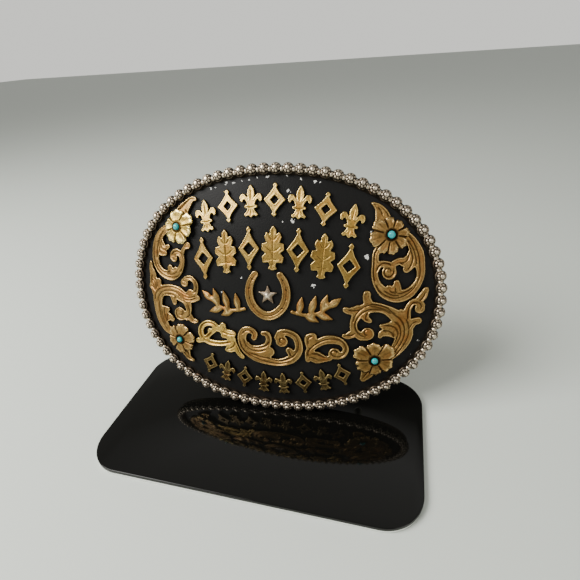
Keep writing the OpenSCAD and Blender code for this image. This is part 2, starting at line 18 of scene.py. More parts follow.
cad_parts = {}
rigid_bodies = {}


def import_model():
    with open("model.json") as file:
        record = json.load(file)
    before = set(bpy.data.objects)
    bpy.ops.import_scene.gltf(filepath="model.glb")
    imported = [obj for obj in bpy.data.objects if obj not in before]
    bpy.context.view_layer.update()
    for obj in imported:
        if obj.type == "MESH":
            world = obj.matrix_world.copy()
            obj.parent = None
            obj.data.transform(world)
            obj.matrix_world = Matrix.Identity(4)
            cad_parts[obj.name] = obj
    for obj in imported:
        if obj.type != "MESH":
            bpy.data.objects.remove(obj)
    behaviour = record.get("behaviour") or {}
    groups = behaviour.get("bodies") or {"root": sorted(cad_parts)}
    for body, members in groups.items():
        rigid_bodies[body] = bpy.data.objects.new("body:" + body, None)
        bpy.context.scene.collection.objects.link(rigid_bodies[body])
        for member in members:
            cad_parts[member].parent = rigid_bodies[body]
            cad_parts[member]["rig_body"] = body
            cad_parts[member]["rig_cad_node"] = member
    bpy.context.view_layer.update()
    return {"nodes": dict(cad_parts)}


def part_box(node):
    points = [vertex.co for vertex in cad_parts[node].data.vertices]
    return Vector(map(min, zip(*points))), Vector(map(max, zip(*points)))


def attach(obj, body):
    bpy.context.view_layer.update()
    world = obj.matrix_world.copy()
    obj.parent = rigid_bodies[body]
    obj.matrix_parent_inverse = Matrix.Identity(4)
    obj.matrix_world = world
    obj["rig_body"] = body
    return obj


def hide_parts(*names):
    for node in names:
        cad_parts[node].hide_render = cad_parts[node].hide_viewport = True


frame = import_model()
nodes = frame["nodes"]
MM = 0.001
print("nodes in the frame:", len(nodes))


# %% [markdown]
# The face leans back and is turned a little on its stand. Carving is far easier in the face's own
# frame, where x runs along the face, y up it and z out of it, in millimetres. The face is a cap of a
# large ball, so a point's height above the plate is its distance from the ball's centre, less the
# ball's radius. That height is called the lift. The lean, the turn, the middle of the face and the
# ball's radius are those of the CAD source.


# %% The face's own frame
LEAN = math.radians(18.4)
TURN = math.radians(2.7)
FACE_MIDDLE = np.array([2.5157, 14.2494, 40.8740])
DOME_R = 150.0
BALL_MIDDLE = np.array([0.0, 0.0, -DOME_R])


def turned(x, y, z):
    """A direction of the leaning face, after the turn on the stand."""
    return [x * math.cos(TURN) - y * math.sin(TURN), x * math.sin(TURN) + y * math.cos(TURN), z]


FACE_AXES = np.array(
    [
        turned(1, 0, 0),
        turned(0, math.sin(LEAN), math.cos(LEAN)),
        turned(0, -math.cos(LEAN), math.sin(LEAN)),
    ]
).T


def to_face(points):
    """Scene points, in metres, as face points in millimetres."""
    return (np.asarray(points, float) / MM - FACE_MIDDLE) @ FACE_AXES


def from_face(points):
    """Face points, in millimetres, as scene points in metres."""
    return (np.asarray(points, float) @ FACE_AXES.T + FACE_MIDDLE) * MM


def lift_of(points):
    """Height of face points above the dome."""
    return np.linalg.norm(points - BALL_MIDDLE, axis=-1) - DOME_R


def on_dome(x, y, lift):
    """Face points over (x, y) at a lift above the dome."""
    x = np.asarray(x, float)
    y = np.asarray(y, float)
    z = np.sqrt((DOME_R + lift) ** 2 - x * x - y * y) - DOME_R
    return np.stack([x, y, z], axis=-1)


def mesh_points(mesh):
    """The vertices of a mesh as an array."""
    values = np.empty(len(mesh.vertices) * 3)
    mesh.vertices.foreach_get("co", values)
    return values.reshape(-1, 3)


plate_lifts = lift_of(to_face(mesh_points(nodes["face_plate"].data)))
print("face plate lies from lift", round(plate_lifts.min(), 3), "to", round(plate_lifts.max(), 3), "mm")


# %% [markdown]
# Every operator works on what is selected, so each step first selects only what it needs. A copy of a
# CAD node is loose triangles with fixed normals. Its doubles are merged and those normals cleared
# before anything else happens to it.


# %% Helpers for objects
MERGE = 1e-6


def select_only(piece):
    """Makes one object the only selected and the active one."""
    bpy.ops.object.select_all(action="DESELECT")
    piece.select_set(True)
    bpy.context.view_layer.objects.active = piece


def edit_all(piece):
    """Opens a piece in edit mode with all of it selected."""
    select_only(piece)
    bpy.ops.object.mode_set(mode="EDIT")
    bpy.ops.mesh.select_all(action="SELECT")


def copy_of_node(node, name):
    """A merged copy of a CAD node, free to be carved."""
    select_only(nodes[node])
    bpy.ops.object.duplicate()
    piece = bpy.context.active_object
    piece.name = name
    piece.parent = None
    piece.matrix_world = Matrix.Identity(4)
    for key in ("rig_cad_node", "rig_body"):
        if key in piece:
            del piece[key]
    edit_all(piece)
    bpy.ops.mesh.remove_doubles(threshold=MERGE)
    bpy.ops.object.mode_set(mode="OBJECT")
    bpy.ops.mesh.customdata_custom_splitnormals_clear()
    return piece


def finish_piece(piece, node, material, smooth_angle=None):
    """Gives a piece its finish and lets it stand for its CAD node."""
    piece.data.materials.clear()
    piece.data.materials.append(material)
    select_only(piece)
    if smooth_angle is None:
        bpy.ops.object.shade_smooth()
    else:
        bpy.ops.object.shade_smooth_by_angle(angle=math.radians(smooth_angle))
    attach(piece, "root")
    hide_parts(node)


print("merge distance in metres:", MERGE)


# %% [markdown]
# ## Finishes
#
# The castings are antiqued: a dark patina fills every low place, and polishing brings the metal back
# on the high ones. So one metal needs several tones, and each carved mesh says where they go, with two
# numbers per vertex. "cut" is 1 in a groove, and on the bead edge also in painted shade, and "rim" is 1
# on a polished edge. A fine noise gives the slightly pitted skin of a casting. What is the same all over
# is set on the shader itself.


# %% Material helpers
MIX_SOCKETS = {"RGBA": (6, 7, 2), "FLOAT": (2, 3, 0)}


def new_material(name, roughness=0.5, metallic=0.0, specular=0.5, colour=None):
    """A node material, with what is the same all over set on its shader."""
    material = bpy.data.materials.new(name)
    material.use_nodes = True
    shader = material.node_tree.nodes["Principled BSDF"]
    shader.inputs["Roughness"].default_value = roughness
    shader.inputs["Metallic"].default_value = metallic
    shader.inputs["Specular IOR Level"].default_value = specular
    if colour:
        shader.inputs["Base Color"].default_value = (*colour, 1)
    return material, material.node_tree, shader


def noise(tree, size_mm, detail=3.0):
    """Noise fixed to the piece, with blots of about this many millimetres."""
    node = tree.nodes.new("ShaderNodeTexNoise")
    node.inputs["Scale"].default_value = 1 / (size_mm * MM)
    node.inputs["Detail"].default_value = detail
    tree.links.new(tree.nodes.new("ShaderNodeTexCoord").outputs["Object"], node.inputs["Vector"])
    return node.outputs["Fac"]


def ramp(tree, value, low, high):
    """Stretches the part of a value between low and high to 0 and 1."""
    node = tree.nodes.new("ShaderNodeMapRange")
    node.inputs["From Min"].default_value = low
    node.inputs["From Max"].default_value = high
    tree.links.new(value, node.inputs["Value"])
    return node.outputs["Result"]


def attribute(tree, name):
    """A number that the mesh keeps per vertex."""
    node = tree.nodes.new("ShaderNodeAttribute")
    node.attribute_name = name
    return node.outputs["Fac"]


def mixed(tree, share, first, second, kind="RGBA"):
    """Two colours, or two numbers of kind FLOAT, mixed by a share. Each may be a socket."""
    node = tree.nodes.new("ShaderNodeMix")
    node.data_type = kind
    low, high, out = MIX_SOCKETS[kind]
    tree.links.new(share, node.inputs[0])
    for socket, value in ((low, first), (high, second)):
        if isinstance(value, bpy.types.NodeSocket):
            tree.links.new(value, node.inputs[socket])
        else:
            node.inputs[socket].default_value = (*value, 1) if kind == "RGBA" else value
    return node.outputs[out]


def bump(tree, shader, height, depth_mm):
    """Lets a height pattern shape the light on the surface."""
    node = tree.nodes.new("ShaderNodeBump")
    node.inputs["Distance"].default_value = depth_mm * MM
    tree.links.new(height, node.inputs["Height"])
    tree.links.new(node.outputs["Normal"], shader.inputs["Normal"])


print("kinds of mix:", list(MIX_SOCKETS))


# %% [markdown]
# A cast metal is one shader. The body's colour drifts between three tones of the same metal in soft
# blots, small specks stay darker, and the polished edges and the dark cuts lie over both. The cuts are
# duller than the edges.


# %% An antiqued metal
EDGE_ROUGHNESS = 0.24
BODY_ROUGHNESS = 0.42
CUT_ROUGHNESS = 0.6
COPPER_TINT = (1.12, 0.88, 0.80)
SPECK_SHADE = 0.42
PIT_DEPTH = 0.03


def antiqued(name, polished, body, worn, dark):
    """A cast metal: polished edges, a blotched and speckled body, and dark cuts."""
    material, tree, shader = new_material(name, metallic=1.0)
    rim = attribute(tree, "rim")
    cut = attribute(tree, "cut")
    copper = tuple(value * tint for value, tint in zip(body, COPPER_TINT))
    speck = tuple(SPECK_SHADE * value for value in body)
    patches = ramp(tree, noise(tree, 2.6), 0.35, 0.65)
    blush = ramp(tree, noise(tree, 4.3, 4.0), 0.50, 0.72)
    specks = ramp(tree, noise(tree, 0.7, 2.5), 0.52, 0.78)
    skin = mixed(tree, blush, mixed(tree, patches, body, worn), copper)
    edged = mixed(tree, rim, mixed(tree, specks, skin, speck), polished)
    tree.links.new(mixed(tree, cut, edged, dark), shader.inputs["Base Color"])
    gloss = mixed(tree, rim, BODY_ROUGHNESS, EDGE_ROUGHNESS, "FLOAT")
    tree.links.new(mixed(tree, cut, gloss, CUT_ROUGHNESS, "FLOAT"), shader.inputs["Roughness"])
    bump(tree, shader, noise(tree, 0.3, 2.0), PIT_DEPTH)
    return material


print("roughness from", EDGE_ROUGHNESS, "on an edge to", CUT_ROUGHNESS, "in a cut")


# %% [markdown]
# The same shader makes all the metals of the face. Each gets four tones, set to match the photograph:
# the polished edge, the body, its worn patches and the dark cuts. The rows of ornaments are one gold
# that gets darker from row to row, and so they are three materials.


# %% The metals
bronze_metal = antiqued(
    "antiqued bronze",
    (0.62, 0.42, 0.165), (0.28, 0.158, 0.048), (0.36, 0.222, 0.074), (0.030, 0.016, 0.006),
)
# The pale gold is painted window light: it goes only on the upper left flower, whose metal is the bronze of
# the other three.
window_lit_gold_metal = antiqued(
    "pale gold, painted window light",
    (0.86, 0.69, 0.26), (0.50, 0.34, 0.075), (0.64, 0.47, 0.13), (0.070, 0.040, 0.010),
)
silver_metal = antiqued(
    "antiqued silver",
    (0.81, 0.71, 0.56), (0.21, 0.165, 0.115), (0.30, 0.24, 0.175), (0.016, 0.013, 0.010),
)
top_row_metal = antiqued(
    "stippled bright gold",
    (0.82, 0.61, 0.22), (0.50, 0.31, 0.070), (0.64, 0.43, 0.115), (0.050, 0.028, 0.008),
)
row_metal = antiqued(
    "stippled gold",
    (0.64, 0.46, 0.16), (0.33, 0.20, 0.048), (0.44, 0.29, 0.078), (0.040, 0.022, 0.007),
)
low_row_metal = antiqued(
    "stippled dark gold",
    (0.42, 0.31, 0.13), (0.15, 0.100, 0.038), (0.22, 0.155, 0.062), (0.020, 0.012, 0.005),
)
print("metals made:", len(bpy.data.materials))


# %% [markdown]
# The ground between the castings is glossy black, roughened with a fine stipple, and silver shows
# through in a few worn chips near the top edge and between the rows. The ground mesh says with
# "chip" where they are, and noise added to it makes their edges ragged. The turquoise is polished, the
# back of the buckle is plain metal, and the stand is as glossy as lacquer.


# %% Black, turquoise, bare metal and stand finishes
CHIP_SILVER = (0.62, 0.62, 0.60)
CHIP_REACH = 0.6
GROUND_BLACK = (0.010, 0.010, 0.010)
DEEP_TURQUOISE = (0.004, 0.29, 0.32)
PALE_TURQUOISE = (0.02, 0.46, 0.45)

ground_black, tree, shader = new_material("black ground", 0.42, specular=0.08)
ragged = tree.nodes.new("ShaderNodeMath")
ragged.operation = "MULTIPLY_ADD"
ragged.inputs[1].default_value = CHIP_REACH
tree.links.new(attribute(tree, "chip"), ragged.inputs[0])
tree.links.new(noise(tree, 0.6, 1.0), ragged.inputs[2])
chipped = ramp(tree, ragged.outputs[0], 0.96, 1.0)
tree.links.new(mixed(tree, chipped, GROUND_BLACK, CHIP_SILVER), shader.inputs["Base Color"])
bump(tree, shader, noise(tree, 0.45, 2.0), 0.05)

turquoise_stone, tree, shader = new_material("turquoise", 0.16)
veins = ramp(tree, noise(tree, 1.4), 0.35, 0.7)
tree.links.new(mixed(tree, veins, DEEP_TURQUOISE, PALE_TURQUOISE), shader.inputs["Base Color"])
shader.inputs["Coat Weight"].default_value = 0.25

bare_metal, tree, shader = new_material("bare metal behind", 0.36, metallic=1.0)
grain = ramp(tree, noise(tree, 1.8, 4.0), 0.3, 0.7)
tree.links.new(mixed(tree, grain, (0.50, 0.48, 0.44), (0.60, 0.58, 0.54)), shader.inputs["Base Color"])

stand_gloss = new_material("glossy black stand", 0.05, 0.0, 0.25, (0.003, 0.003, 0.0026))[0]
stand_edge = new_material("bare metal edge of the stand", 0.3, 1.0, 0.5, (0.96, 0.96, 0.94))[0]
print("metals and other finishes:", len(bpy.data.materials))


# %% [markdown]
# ## Carving a casting
#
# A casting in the frame is a flat-topped layer. The real one has rounded, polished edges, a surface
# that sinks a little inside them, and lines engraved along its stems. A copy is remeshed into small
# even faces, so that its top can be moved like clay. How far each vertex lies from the outline
# decides the edge, and how far it lies from an engraved line decides the groove.


# %% Reading, easing and moving points
SMALLEST = 1e-9


def set_mesh_points(mesh, points):
    """Puts an array back as the vertices of a mesh."""
    mesh.vertices.foreach_set("co", np.ascontiguousarray(points, float).ravel())
    mesh.update()


def store(mesh, name, values):
    """Keeps one number per vertex for a material to read."""
    layer = mesh.attributes.get(name) or mesh.attributes.new(name, "FLOAT", "POINT")
    layer.data.foreach_set("value", np.asarray(values, np.float32))


def eased(value, low, high):
    """0 below low, 1 above high, and a soft slope between them."""
    share = np.clip((np.asarray(value, float) - low) / (high - low), 0, 1)
    return share * share * (3 - 2 * share)


def bell(value, middle, width):
    """1 at the middle, and next to nothing two widths away from it."""
    return np.exp(-(((value - middle) / width) ** 2))


def move_lift(points, change):
    """Moves face points in or out of the dome."""
    outward = points - BALL_MIDDLE
    reach = np.linalg.norm(outward, axis=1)
    return BALL_MIDDLE + outward * ((reach + change) / reach)[:, None]


print("halfway up a soft slope:", float(eased(0.5, 0, 1)))


# %% [markdown]
# The outline is read from the casting's own mesh: it is where a face of the flat top meets one of the
# walls. Sample points are laid along it closely, and a search tree finds the nearest one to any vertex.
# The voxel remesh gives even faces, but it leaves steps in the walls, which a little smoothing takes out.


# %% Outlines and even faces
VOXEL = 0.14
SAMPLE = 0.06
TOP_SHARE = 0.7
WALL_SHARE = 0.5


def tree_of(points):
    """A search tree over flat points."""
    found = kdtree.KDTree(len(points))
    for number, point in enumerate(points):
        found.insert((point[0], point[1], 0), number)
    found.balance()
    return found


def nearest(search, points):
    """Distance and number of the nearest sample for every point."""
    hits = [search.find((x, y, 0)) for x, y in points[:, :2]]
    return np.array([hit[2] for hit in hits]), np.array([hit[1] for hit in hits])


def outline_samples(mesh):
    """Flat points along the upper outline of a layer: the edges where its top meets a wall."""
    points = to_face(mesh_points(mesh))
    outward = (points - BALL_MIDDLE) / np.linalg.norm(points - BALL_MIDDLE, axis=1)[:, None]
    sides = {}
    for polygon in mesh.polygons:
        normal = np.array(polygon.normal) @ FACE_AXES
        facing = float(normal @ outward[polygon.vertices[0]])
        for pair in polygon.edge_keys:
            sides.setdefault(pair, []).append(facing)
    samples = []
    for (first, second), facings in sides.items():
        if max(facings) > TOP_SHARE and min(facings) < WALL_SHARE:
            start = points[first]
            end = points[second]
            count = max(1, int(np.linalg.norm(end - start) / SAMPLE))
            for k in range(count + 1):
                samples.append(start + (end - start) * k / count)
    return np.array(samples)


def remesh(piece, size=VOXEL):
    """Turns a piece into small even faces, and smooths the steps out of its walls."""
    select_only(piece)
    modifier = piece.modifiers.new("even faces", "REMESH")
    modifier.mode = "VOXEL"
    modifier.voxel_size = size * MM
    bpy.ops.object.modifier_apply(modifier=modifier.name)
    edit_all(piece)
    bpy.ops.mesh.vertices_smooth(factor=0.5, repeat=2)
    bpy.ops.object.mode_set(mode="OBJECT")


print("voxels of the castings:", VOXEL, "mm")


# %% [markdown]
# An engraver's line is deepest along its middle and runs out at both ends. A line is given by a few
# points, and a smooth curve is led through all of them. A vertex is in the groove as far as it lies near
# the curve, and less so near its ends.


# %% Engraved curves
CURVE_STEP = 0.08
CUT_FADE = 0.9
CUT_AT_END = 0.25


def walked_along(line):
    """How far each point of a line lies from its start."""
    return np.concatenate([[0], np.cumsum(np.linalg.norm(np.diff(line, axis=0), axis=1))])


def curve_samples(points):
    """A smooth curve through points: places and how far each is from the nearer end."""
    rows = np.array(points, float)
    padded = np.vstack([rows[:1], rows, rows[-1:]])
    line = []
    for i in range(1, len(rows)):
        a, b, c, d = padded[i - 1], padded[i], padded[i + 1], padded[i + 2]
        square = 2 * a - 5 * b + 4 * c - d
        cube = 3 * b - a - 3 * c + d
        count = max(2, int(np.linalg.norm(c - b) / CURVE_STEP))
        for t in np.linspace(0, 1, count, endpoint=False):
            line.append(0.5 * (2 * b + (c - a) * t + square * t**2 + cube * t**3))
    line.append(rows[-1])
    line = np.array(line)
    passed = walked_along(line)
    return line, np.minimum(passed, passed[-1] - passed)


def cut_field(cuts, points, half_width):
    """How deep in a cut each point lies, from 0 to 1."""
    if not cuts:
        return np.zeros(len(points))
    curves = [curve_samples(cut) for cut in cuts]
    ends = np.concatenate([end for line, end in curves])
    distance, number = nearest(tree_of(np.vstack([line for line, end in curves])), points)
    share = np.clip(1 - (distance / half_width) ** 2, 0, 1)
    return share * share * np.clip(CUT_AT_END + ends[number] / CUT_FADE, 0, 1)


print("points on a curve of 8 mm:", len(curve_samples([(0, 0), (4, 1), (8, 0)])[0]))


# %% [markdown]
# Each kind of casting has its own section. On a scroll the surface falls from a polished edge to a
# slightly sunk field. On the small ornaments the edge is a flat border round a stippled floor. Leaves
# and the star rise to a crest. A section says, at each distance from the outline, how far the
# surface has fallen and how dark and how polished it is.


# %% Sections of the castings
ROUND = 0.24
GROOVE_DARK = 0.22
WALL_DARK = 0.75


def rounded_edge(distance, radius=ROUND):
    """How far a rounded edge has fallen at a distance from the outline."""
    inside = np.clip(radius - distance, 0, radius)
    return radius - np.sqrt(radius**2 - inside**2)


def scroll_section(distance):
    """Fall, patina and polish of a scroll at a distance from its outline."""
    fall = rounded_edge(distance) + 0.12 * eased(distance, 0.3, 0.55) - 0.10 * eased(distance, 0.7, 1.5)
    patina = GROOVE_DARK * bell(distance, 0.55, 0.14) + WALL_DARK * eased(-distance, -0.12, 0.05)
    polish = 0.85 * eased(distance, 0.02, 0.12) * (1 - eased(distance, 0.26, 0.46))
    return fall, patina, polish


def bordered_section(distance):
    """A thin polished border round a flat floor that is hardly sunk."""
    fall = rounded_edge(distance, 0.2) + 0.06 * eased(distance, 0.28, 0.45)
    patina = GROOVE_DARK * bell(distance, 0.42, 0.1) + WALL_DARK * eased(-distance, -0.1, 0.05)
    polish = 0.75 * eased(distance, 0.02, 0.1) * (1 - eased(distance, 0.24, 0.4))
    return fall, patina, polish


def crested_section(distance):
    """A surface that rises evenly from the outline to a crest."""
    fall = rounded_edge(distance, 0.15) + 0.42 * (1 - np.clip(distance / 1.3, 0, 1))
    patina = 0.7 * eased(-distance, -0.14, 0.05)
    polish = eased(distance, 0.45, 1.1)
    return fall, patina, polish


print("a rounded edge falls", rounded_edge(0), "mm at the outline")


# %% [markdown]
# Carving puts the section and the engraved lines together. Every point of the top sinks by what the two
# ask for, less and less down the walls, so that the foot of the casting stays where it is soldered on.
# The same two numbers then say how dark and how polished the point is.


# %% Carving one casting
RELIEF_LOW = 0.05
RELIEF_TOP = 1.15
INK_DARK = 0.95
LOW_DARK = 0.85
CUT_HALF_WIDTH = 0.42
CUT_DEPTH = 0.3


def casting_copy(node, voxel=VOXEL):
    """A remeshed copy of a casting, its points, and how far each lies from the outline."""
    piece = copy_of_node(node, "carved_" + node)
    outline = tree_of(outline_samples(piece.data))
    remesh(piece, voxel)
    points = to_face(mesh_points(piece.data))
    return piece, points, nearest(outline, points)[0]


def carve(node, section, cuts=(), half_width=CUT_HALF_WIDTH, depth=CUT_DEPTH, pits=()):
    """Carves a copy of a flat-topped layer of the relief."""
    piece, points, distance = casting_copy(node)
    fall, patina, polish = section(distance)
    inside = eased(distance, 0.22, 0.5)
    groove = cut_field(cuts, points, half_width) * inside
    for x, y, radius in pits:
        away = np.hypot(points[:, 0] - x, points[:, 1] - y)
        groove = np.maximum(groove, 1 - eased(away, radius * 0.6, radius))
    upper = eased(lift_of(points), RELIEF_LOW + 0.25, RELIEF_TOP - 0.08)
    points = move_lift(points, -(fall + depth * groove) * upper)
    set_mesh_points(piece.data, from_face(points))
    dark = patina + INK_DARK * groove**3 + LOW_DARK * (1 - upper)
    store(piece.data, "cut", np.clip(dark, 0, 1))
    store(piece.data, "rim", polish * (1 - np.clip(1.4 * groove, 0, 1)) * upper)
    print(piece.name, "has", len(piece.data.polygons), "faces")
    return piece


print("the relief stands", RELIEF_TOP, "mm above the dome")


# %% [markdown]
# ## The scrolls
#
# Engraved lines run along every stem and spread into its fronds, and each eye holds a small spiral.
# A picture could paint them, but it would stay flat. So they are given here as smooth curves,
# in millimetres on the face, one table per casting, and are cut into the metal.


# %% Engraved lines of the left scrolls
SCROLL_CUTS = {
    "scroll_upper_left": [
        [(-37.6, 19.2), (-39.2, 17.2), (-40.2, 14.4), (-40.7, 11.6), (-40.7, 9.6)],
        [(-37.2, 18.2), (-38.6, 16.4), (-39.2, 14.4), (-38.6, 13.0), (-37.0, 12.8), (-36.0, 13.3)],
        [(-39.4, 16.6), (-39.9, 14.2), (-39.6, 12.2), (-38.6, 11.2)],
        [(-38.1, 17.6), (-37.9, 15.8), (-38.1, 14.4), (-37.3, 13.9)],
        [(-41.6, 16.4), (-42.2, 14.0), (-42.3, 11.0), (-41.9, 8.4), (-40.6, 6.0), (-38.4, 4.4),
         (-35.4, 3.8), (-33.0, 4.3), (-31.4, 5.6)],
        [(-41.4, 8.6), (-40.3, 6.9), (-38.4, 5.6), (-36.6, 5.3), (-35.6, 6.2)],
        [(-37.6, 4.9), (-35.2, 4.8), (-33.6, 5.4), (-32.7, 6.4)],
        [(-31.8, 5.6), (-30.5, 7.6), (-30.1, 9.8), (-30.8, 11.6), (-32.3, 12.5), (-34.0, 12.2),
         (-35.0, 11.0)],
        [(-34.6, 10.9), (-33.6, 11.2), (-32.9, 10.4)],
        [(-32.2, 25.4), (-30.6, 26.6), (-29.2, 28.1), (-27.6, 29.2), (-26.2, 29.2)],
        [(-29.4, 25.4), (-28.5, 24.4), (-27.4, 23.6)],
    ],
    "scroll_lower_left": [
        [(-38.6, -15.2), (-40.2, -12.4), (-41.0, -9.4), (-41.2, -6.4), (-41.2, -4.2)],
        [(-39.0, -13.6), (-40.1, -10.4), (-40.4, -7.2)],
        [(-37.6, -13.8), (-38.7, -11.2), (-39.3, -8.6), (-39.0, -7.0), (-38.0, -6.6)],
        [(-38.2, -12.6), (-38.3, -10.0), (-37.4, -8.6)],
        [(-42.9, -5.0), (-42.6, -2.6), (-41.0, -0.8), (-38.6, 0.2), (-35.6, 0.7), (-32.8, 0.2),
         (-30.8, -0.7), (-28.6, -1.6)],
        [(-41.8, -5.4), (-41.2, -3.2), (-39.4, -1.4), (-36.8, -0.7), (-34.4, -0.9), (-32.8, -1.6),
         (-32.1, -2.6)],
        [(-40.2, -3.6), (-38.4, -2.3), (-36.2, -1.9), (-34.4, -2.3), (-33.9, -3.6)],
        [(-31.8, -2.6), (-29.8, -3.2), (-27.6, -2.9), (-25.8, -2.0)],
        [(-30.6, -1.8), (-28.8, -2.3), (-27.0, -1.9), (-26.0, -1.4)],
        [(-31.2, -3.2), (-29.6, -4.6), (-28.9, -6.6), (-29.1, -8.4), (-30.4, -9.6)],
        [(-28.4, -8.6), (-27.6, -9.8), (-26.4, -10.2)],
        [(-30.9, -9.7), (-32.4, -10.2), (-33.9, -9.4), (-34.4, -7.9), (-33.8, -6.7), (-32.6, -6.3),
         (-31.7, -6.9), (-31.6, -8.0), (-32.4, -8.7), (-33.3, -8.2)],
        [(-42.4, -1.2), (-43.2, 0.6), (-43.8, 2.6), (-43.2, 4.4)],
        [(-41.9, -1.0), (-42.2, 0.9), (-43.0, 2.0), (-44.2, 2.8)],
        [(-41.2, -0.4), (-41.4, 0.8), (-42.0, 2.2), (-43.0, 3.2)],
        [(-44.4, 0.4), (-43.2, -0.5), (-42.2, -1.6)],
        [(-26.6, -0.6), (-25.7, 1.0), (-25.9, 2.8), (-27.0, 4.2), (-28.8, 4.4), (-30.6, 3.9)],
        [(-31.0, 3.0), (-30.2, 3.2), (-29.6, 2.4)],
        [(-33.4, -22.0), (-32.4, -23.2), (-31.2, -24.4), (-29.8, -25.0)],
        [(-31.6, -21.2), (-31.2, -22.8), (-30.6, -24.0)],
    ],
}
print("lines on the left:", sum(len(cuts) for cuts in SCROLL_CUTS.values()))


# %% Engraved lines of the right scrolls
RIGHT_CUTS = {
    "scroll_upper_right": [
        [(38.6, 19.4), (40.6, 16.8), (42.0, 13.6), (42.6, 10.4), (42.8, 7.4), (42.0, 4.8)],
        [(38.4, 18.2), (40.4, 15.2), (41.4, 12.2), (41.5, 10.2)],
        [(38.9, 16.4), (40.0, 14.2), (40.4, 12.2), (39.9, 10.2), (39.0, 9.1)],
        [(38.8, 15.0), (39.2, 13.6), (38.9, 12.0), (37.6, 11.2), (36.2, 11.2)],
        [(42.2, 5.4), (41.0, 3.4), (38.8, 1.6), (36.2, 0.8), (33.6, 1.4), (31.4, 3.0), (30.2, 5.2)],
        [(41.2, 4.2), (39.6, 3.0), (37.4, 2.2), (36.2, 2.8), (36.1, 4.4)],
        [(37.6, 1.7), (35.4, 1.7), (33.4, 2.6), (32.4, 3.4)],
        [(36.8, 2.4), (35.0, 2.6), (34.2, 3.6)],
        [(30.2, 5.4), (29.6, 7.6), (29.5, 11.0), (29.7, 14.0), (30.8, 15.4)],
        [(30.6, 8.0), (30.7, 9.8), (31.9, 11.0), (33.4, 11.1), (34.8, 10.4)],
        [(35.2, 9.4), (35.1, 7.9), (34.2, 7.2), (33.1, 7.4), (32.6, 8.4), (33.0, 9.5), (34.0, 9.6),
         (34.5, 8.8), (34.0, 8.3)],
        [(33.2, 24.0), (32.4, 25.6), (31.2, 26.9), (29.8, 27.9), (28.8, 27.9)],
        [(31.4, 24.4), (30.6, 26.2), (29.6, 27.3)],
    ],
    "scroll_lower_right": [
        [(36.6, -18.6), (38.4, -16.0), (39.9, -13.2), (40.7, -10.4), (40.5, -7.6), (39.5, -5.2)],
        [(36.4, -17.2), (38.4, -14.2), (39.4, -11.2), (39.3, -8.2), (38.2, -6.0), (36.4, -4.4),
         (34.0, -2.9), (31.0, -2.0), (28.6, -1.6)],
        [(36.2, -15.8), (37.6, -13.4), (38.4, -10.6), (38.0, -8.2), (36.8, -6.8), (35.8, -6.4)],
        [(35.9, -15.0), (36.9, -12.8), (37.6, -10.4), (36.6, -8.4), (34.6, -7.7), (32.8, -7.7)],
        [(36.6, -13.6), (36.4, -11.2), (35.2, -9.7), (33.6, -9.4), (32.6, -9.8)],
        [(36.8, -4.4), (33.4, -2.0), (30.6, -1.2), (28.4, -1.5), (26.4, -2.7), (24.9, -4.6),
         (24.1, -7.2)],
        [(35.6, -4.2), (32.8, -2.8), (30.0, -2.6), (27.8, -3.2), (26.0, -4.8), (24.9, -7.0), (25.2, -9.2),
         (26.4, -10.8), (28.0, -11.5)],
        [(29.4, -3.1), (28.2, -4.2), (28.0, -5.6), (28.8, -6.4)],
        [(27.4, -2.2), (25.6, -3.0), (23.8, -3.2), (22.4, -2.8)],
        [(29.4, -9.0), (28.3, -9.0), (27.7, -9.8), (28.1, -10.8), (29.0, -10.8)],
        [(25.2, -10.4), (23.6, -11.1), (22.2, -11.2)],
        [(40.6, -9.2), (41.6, -7.2), (43.2, -6.3)],
        [(40.2, -6.2), (40.2, -3.0), (41.2, -0.9), (42.8, -0.5), (43.9, -1.6), (43.6, -2.8)],
        [(42.9, -0.4), (44.2, 1.0), (44.8, 2.8)],
        [(29.8, -22.6), (28.6, -24.4), (27.8, -26.0)],
    ],
}
SCROLL_CUTS.update(RIGHT_CUTS)
print("lines on the right:", sum(len(cuts) for cuts in RIGHT_CUTS.values()))


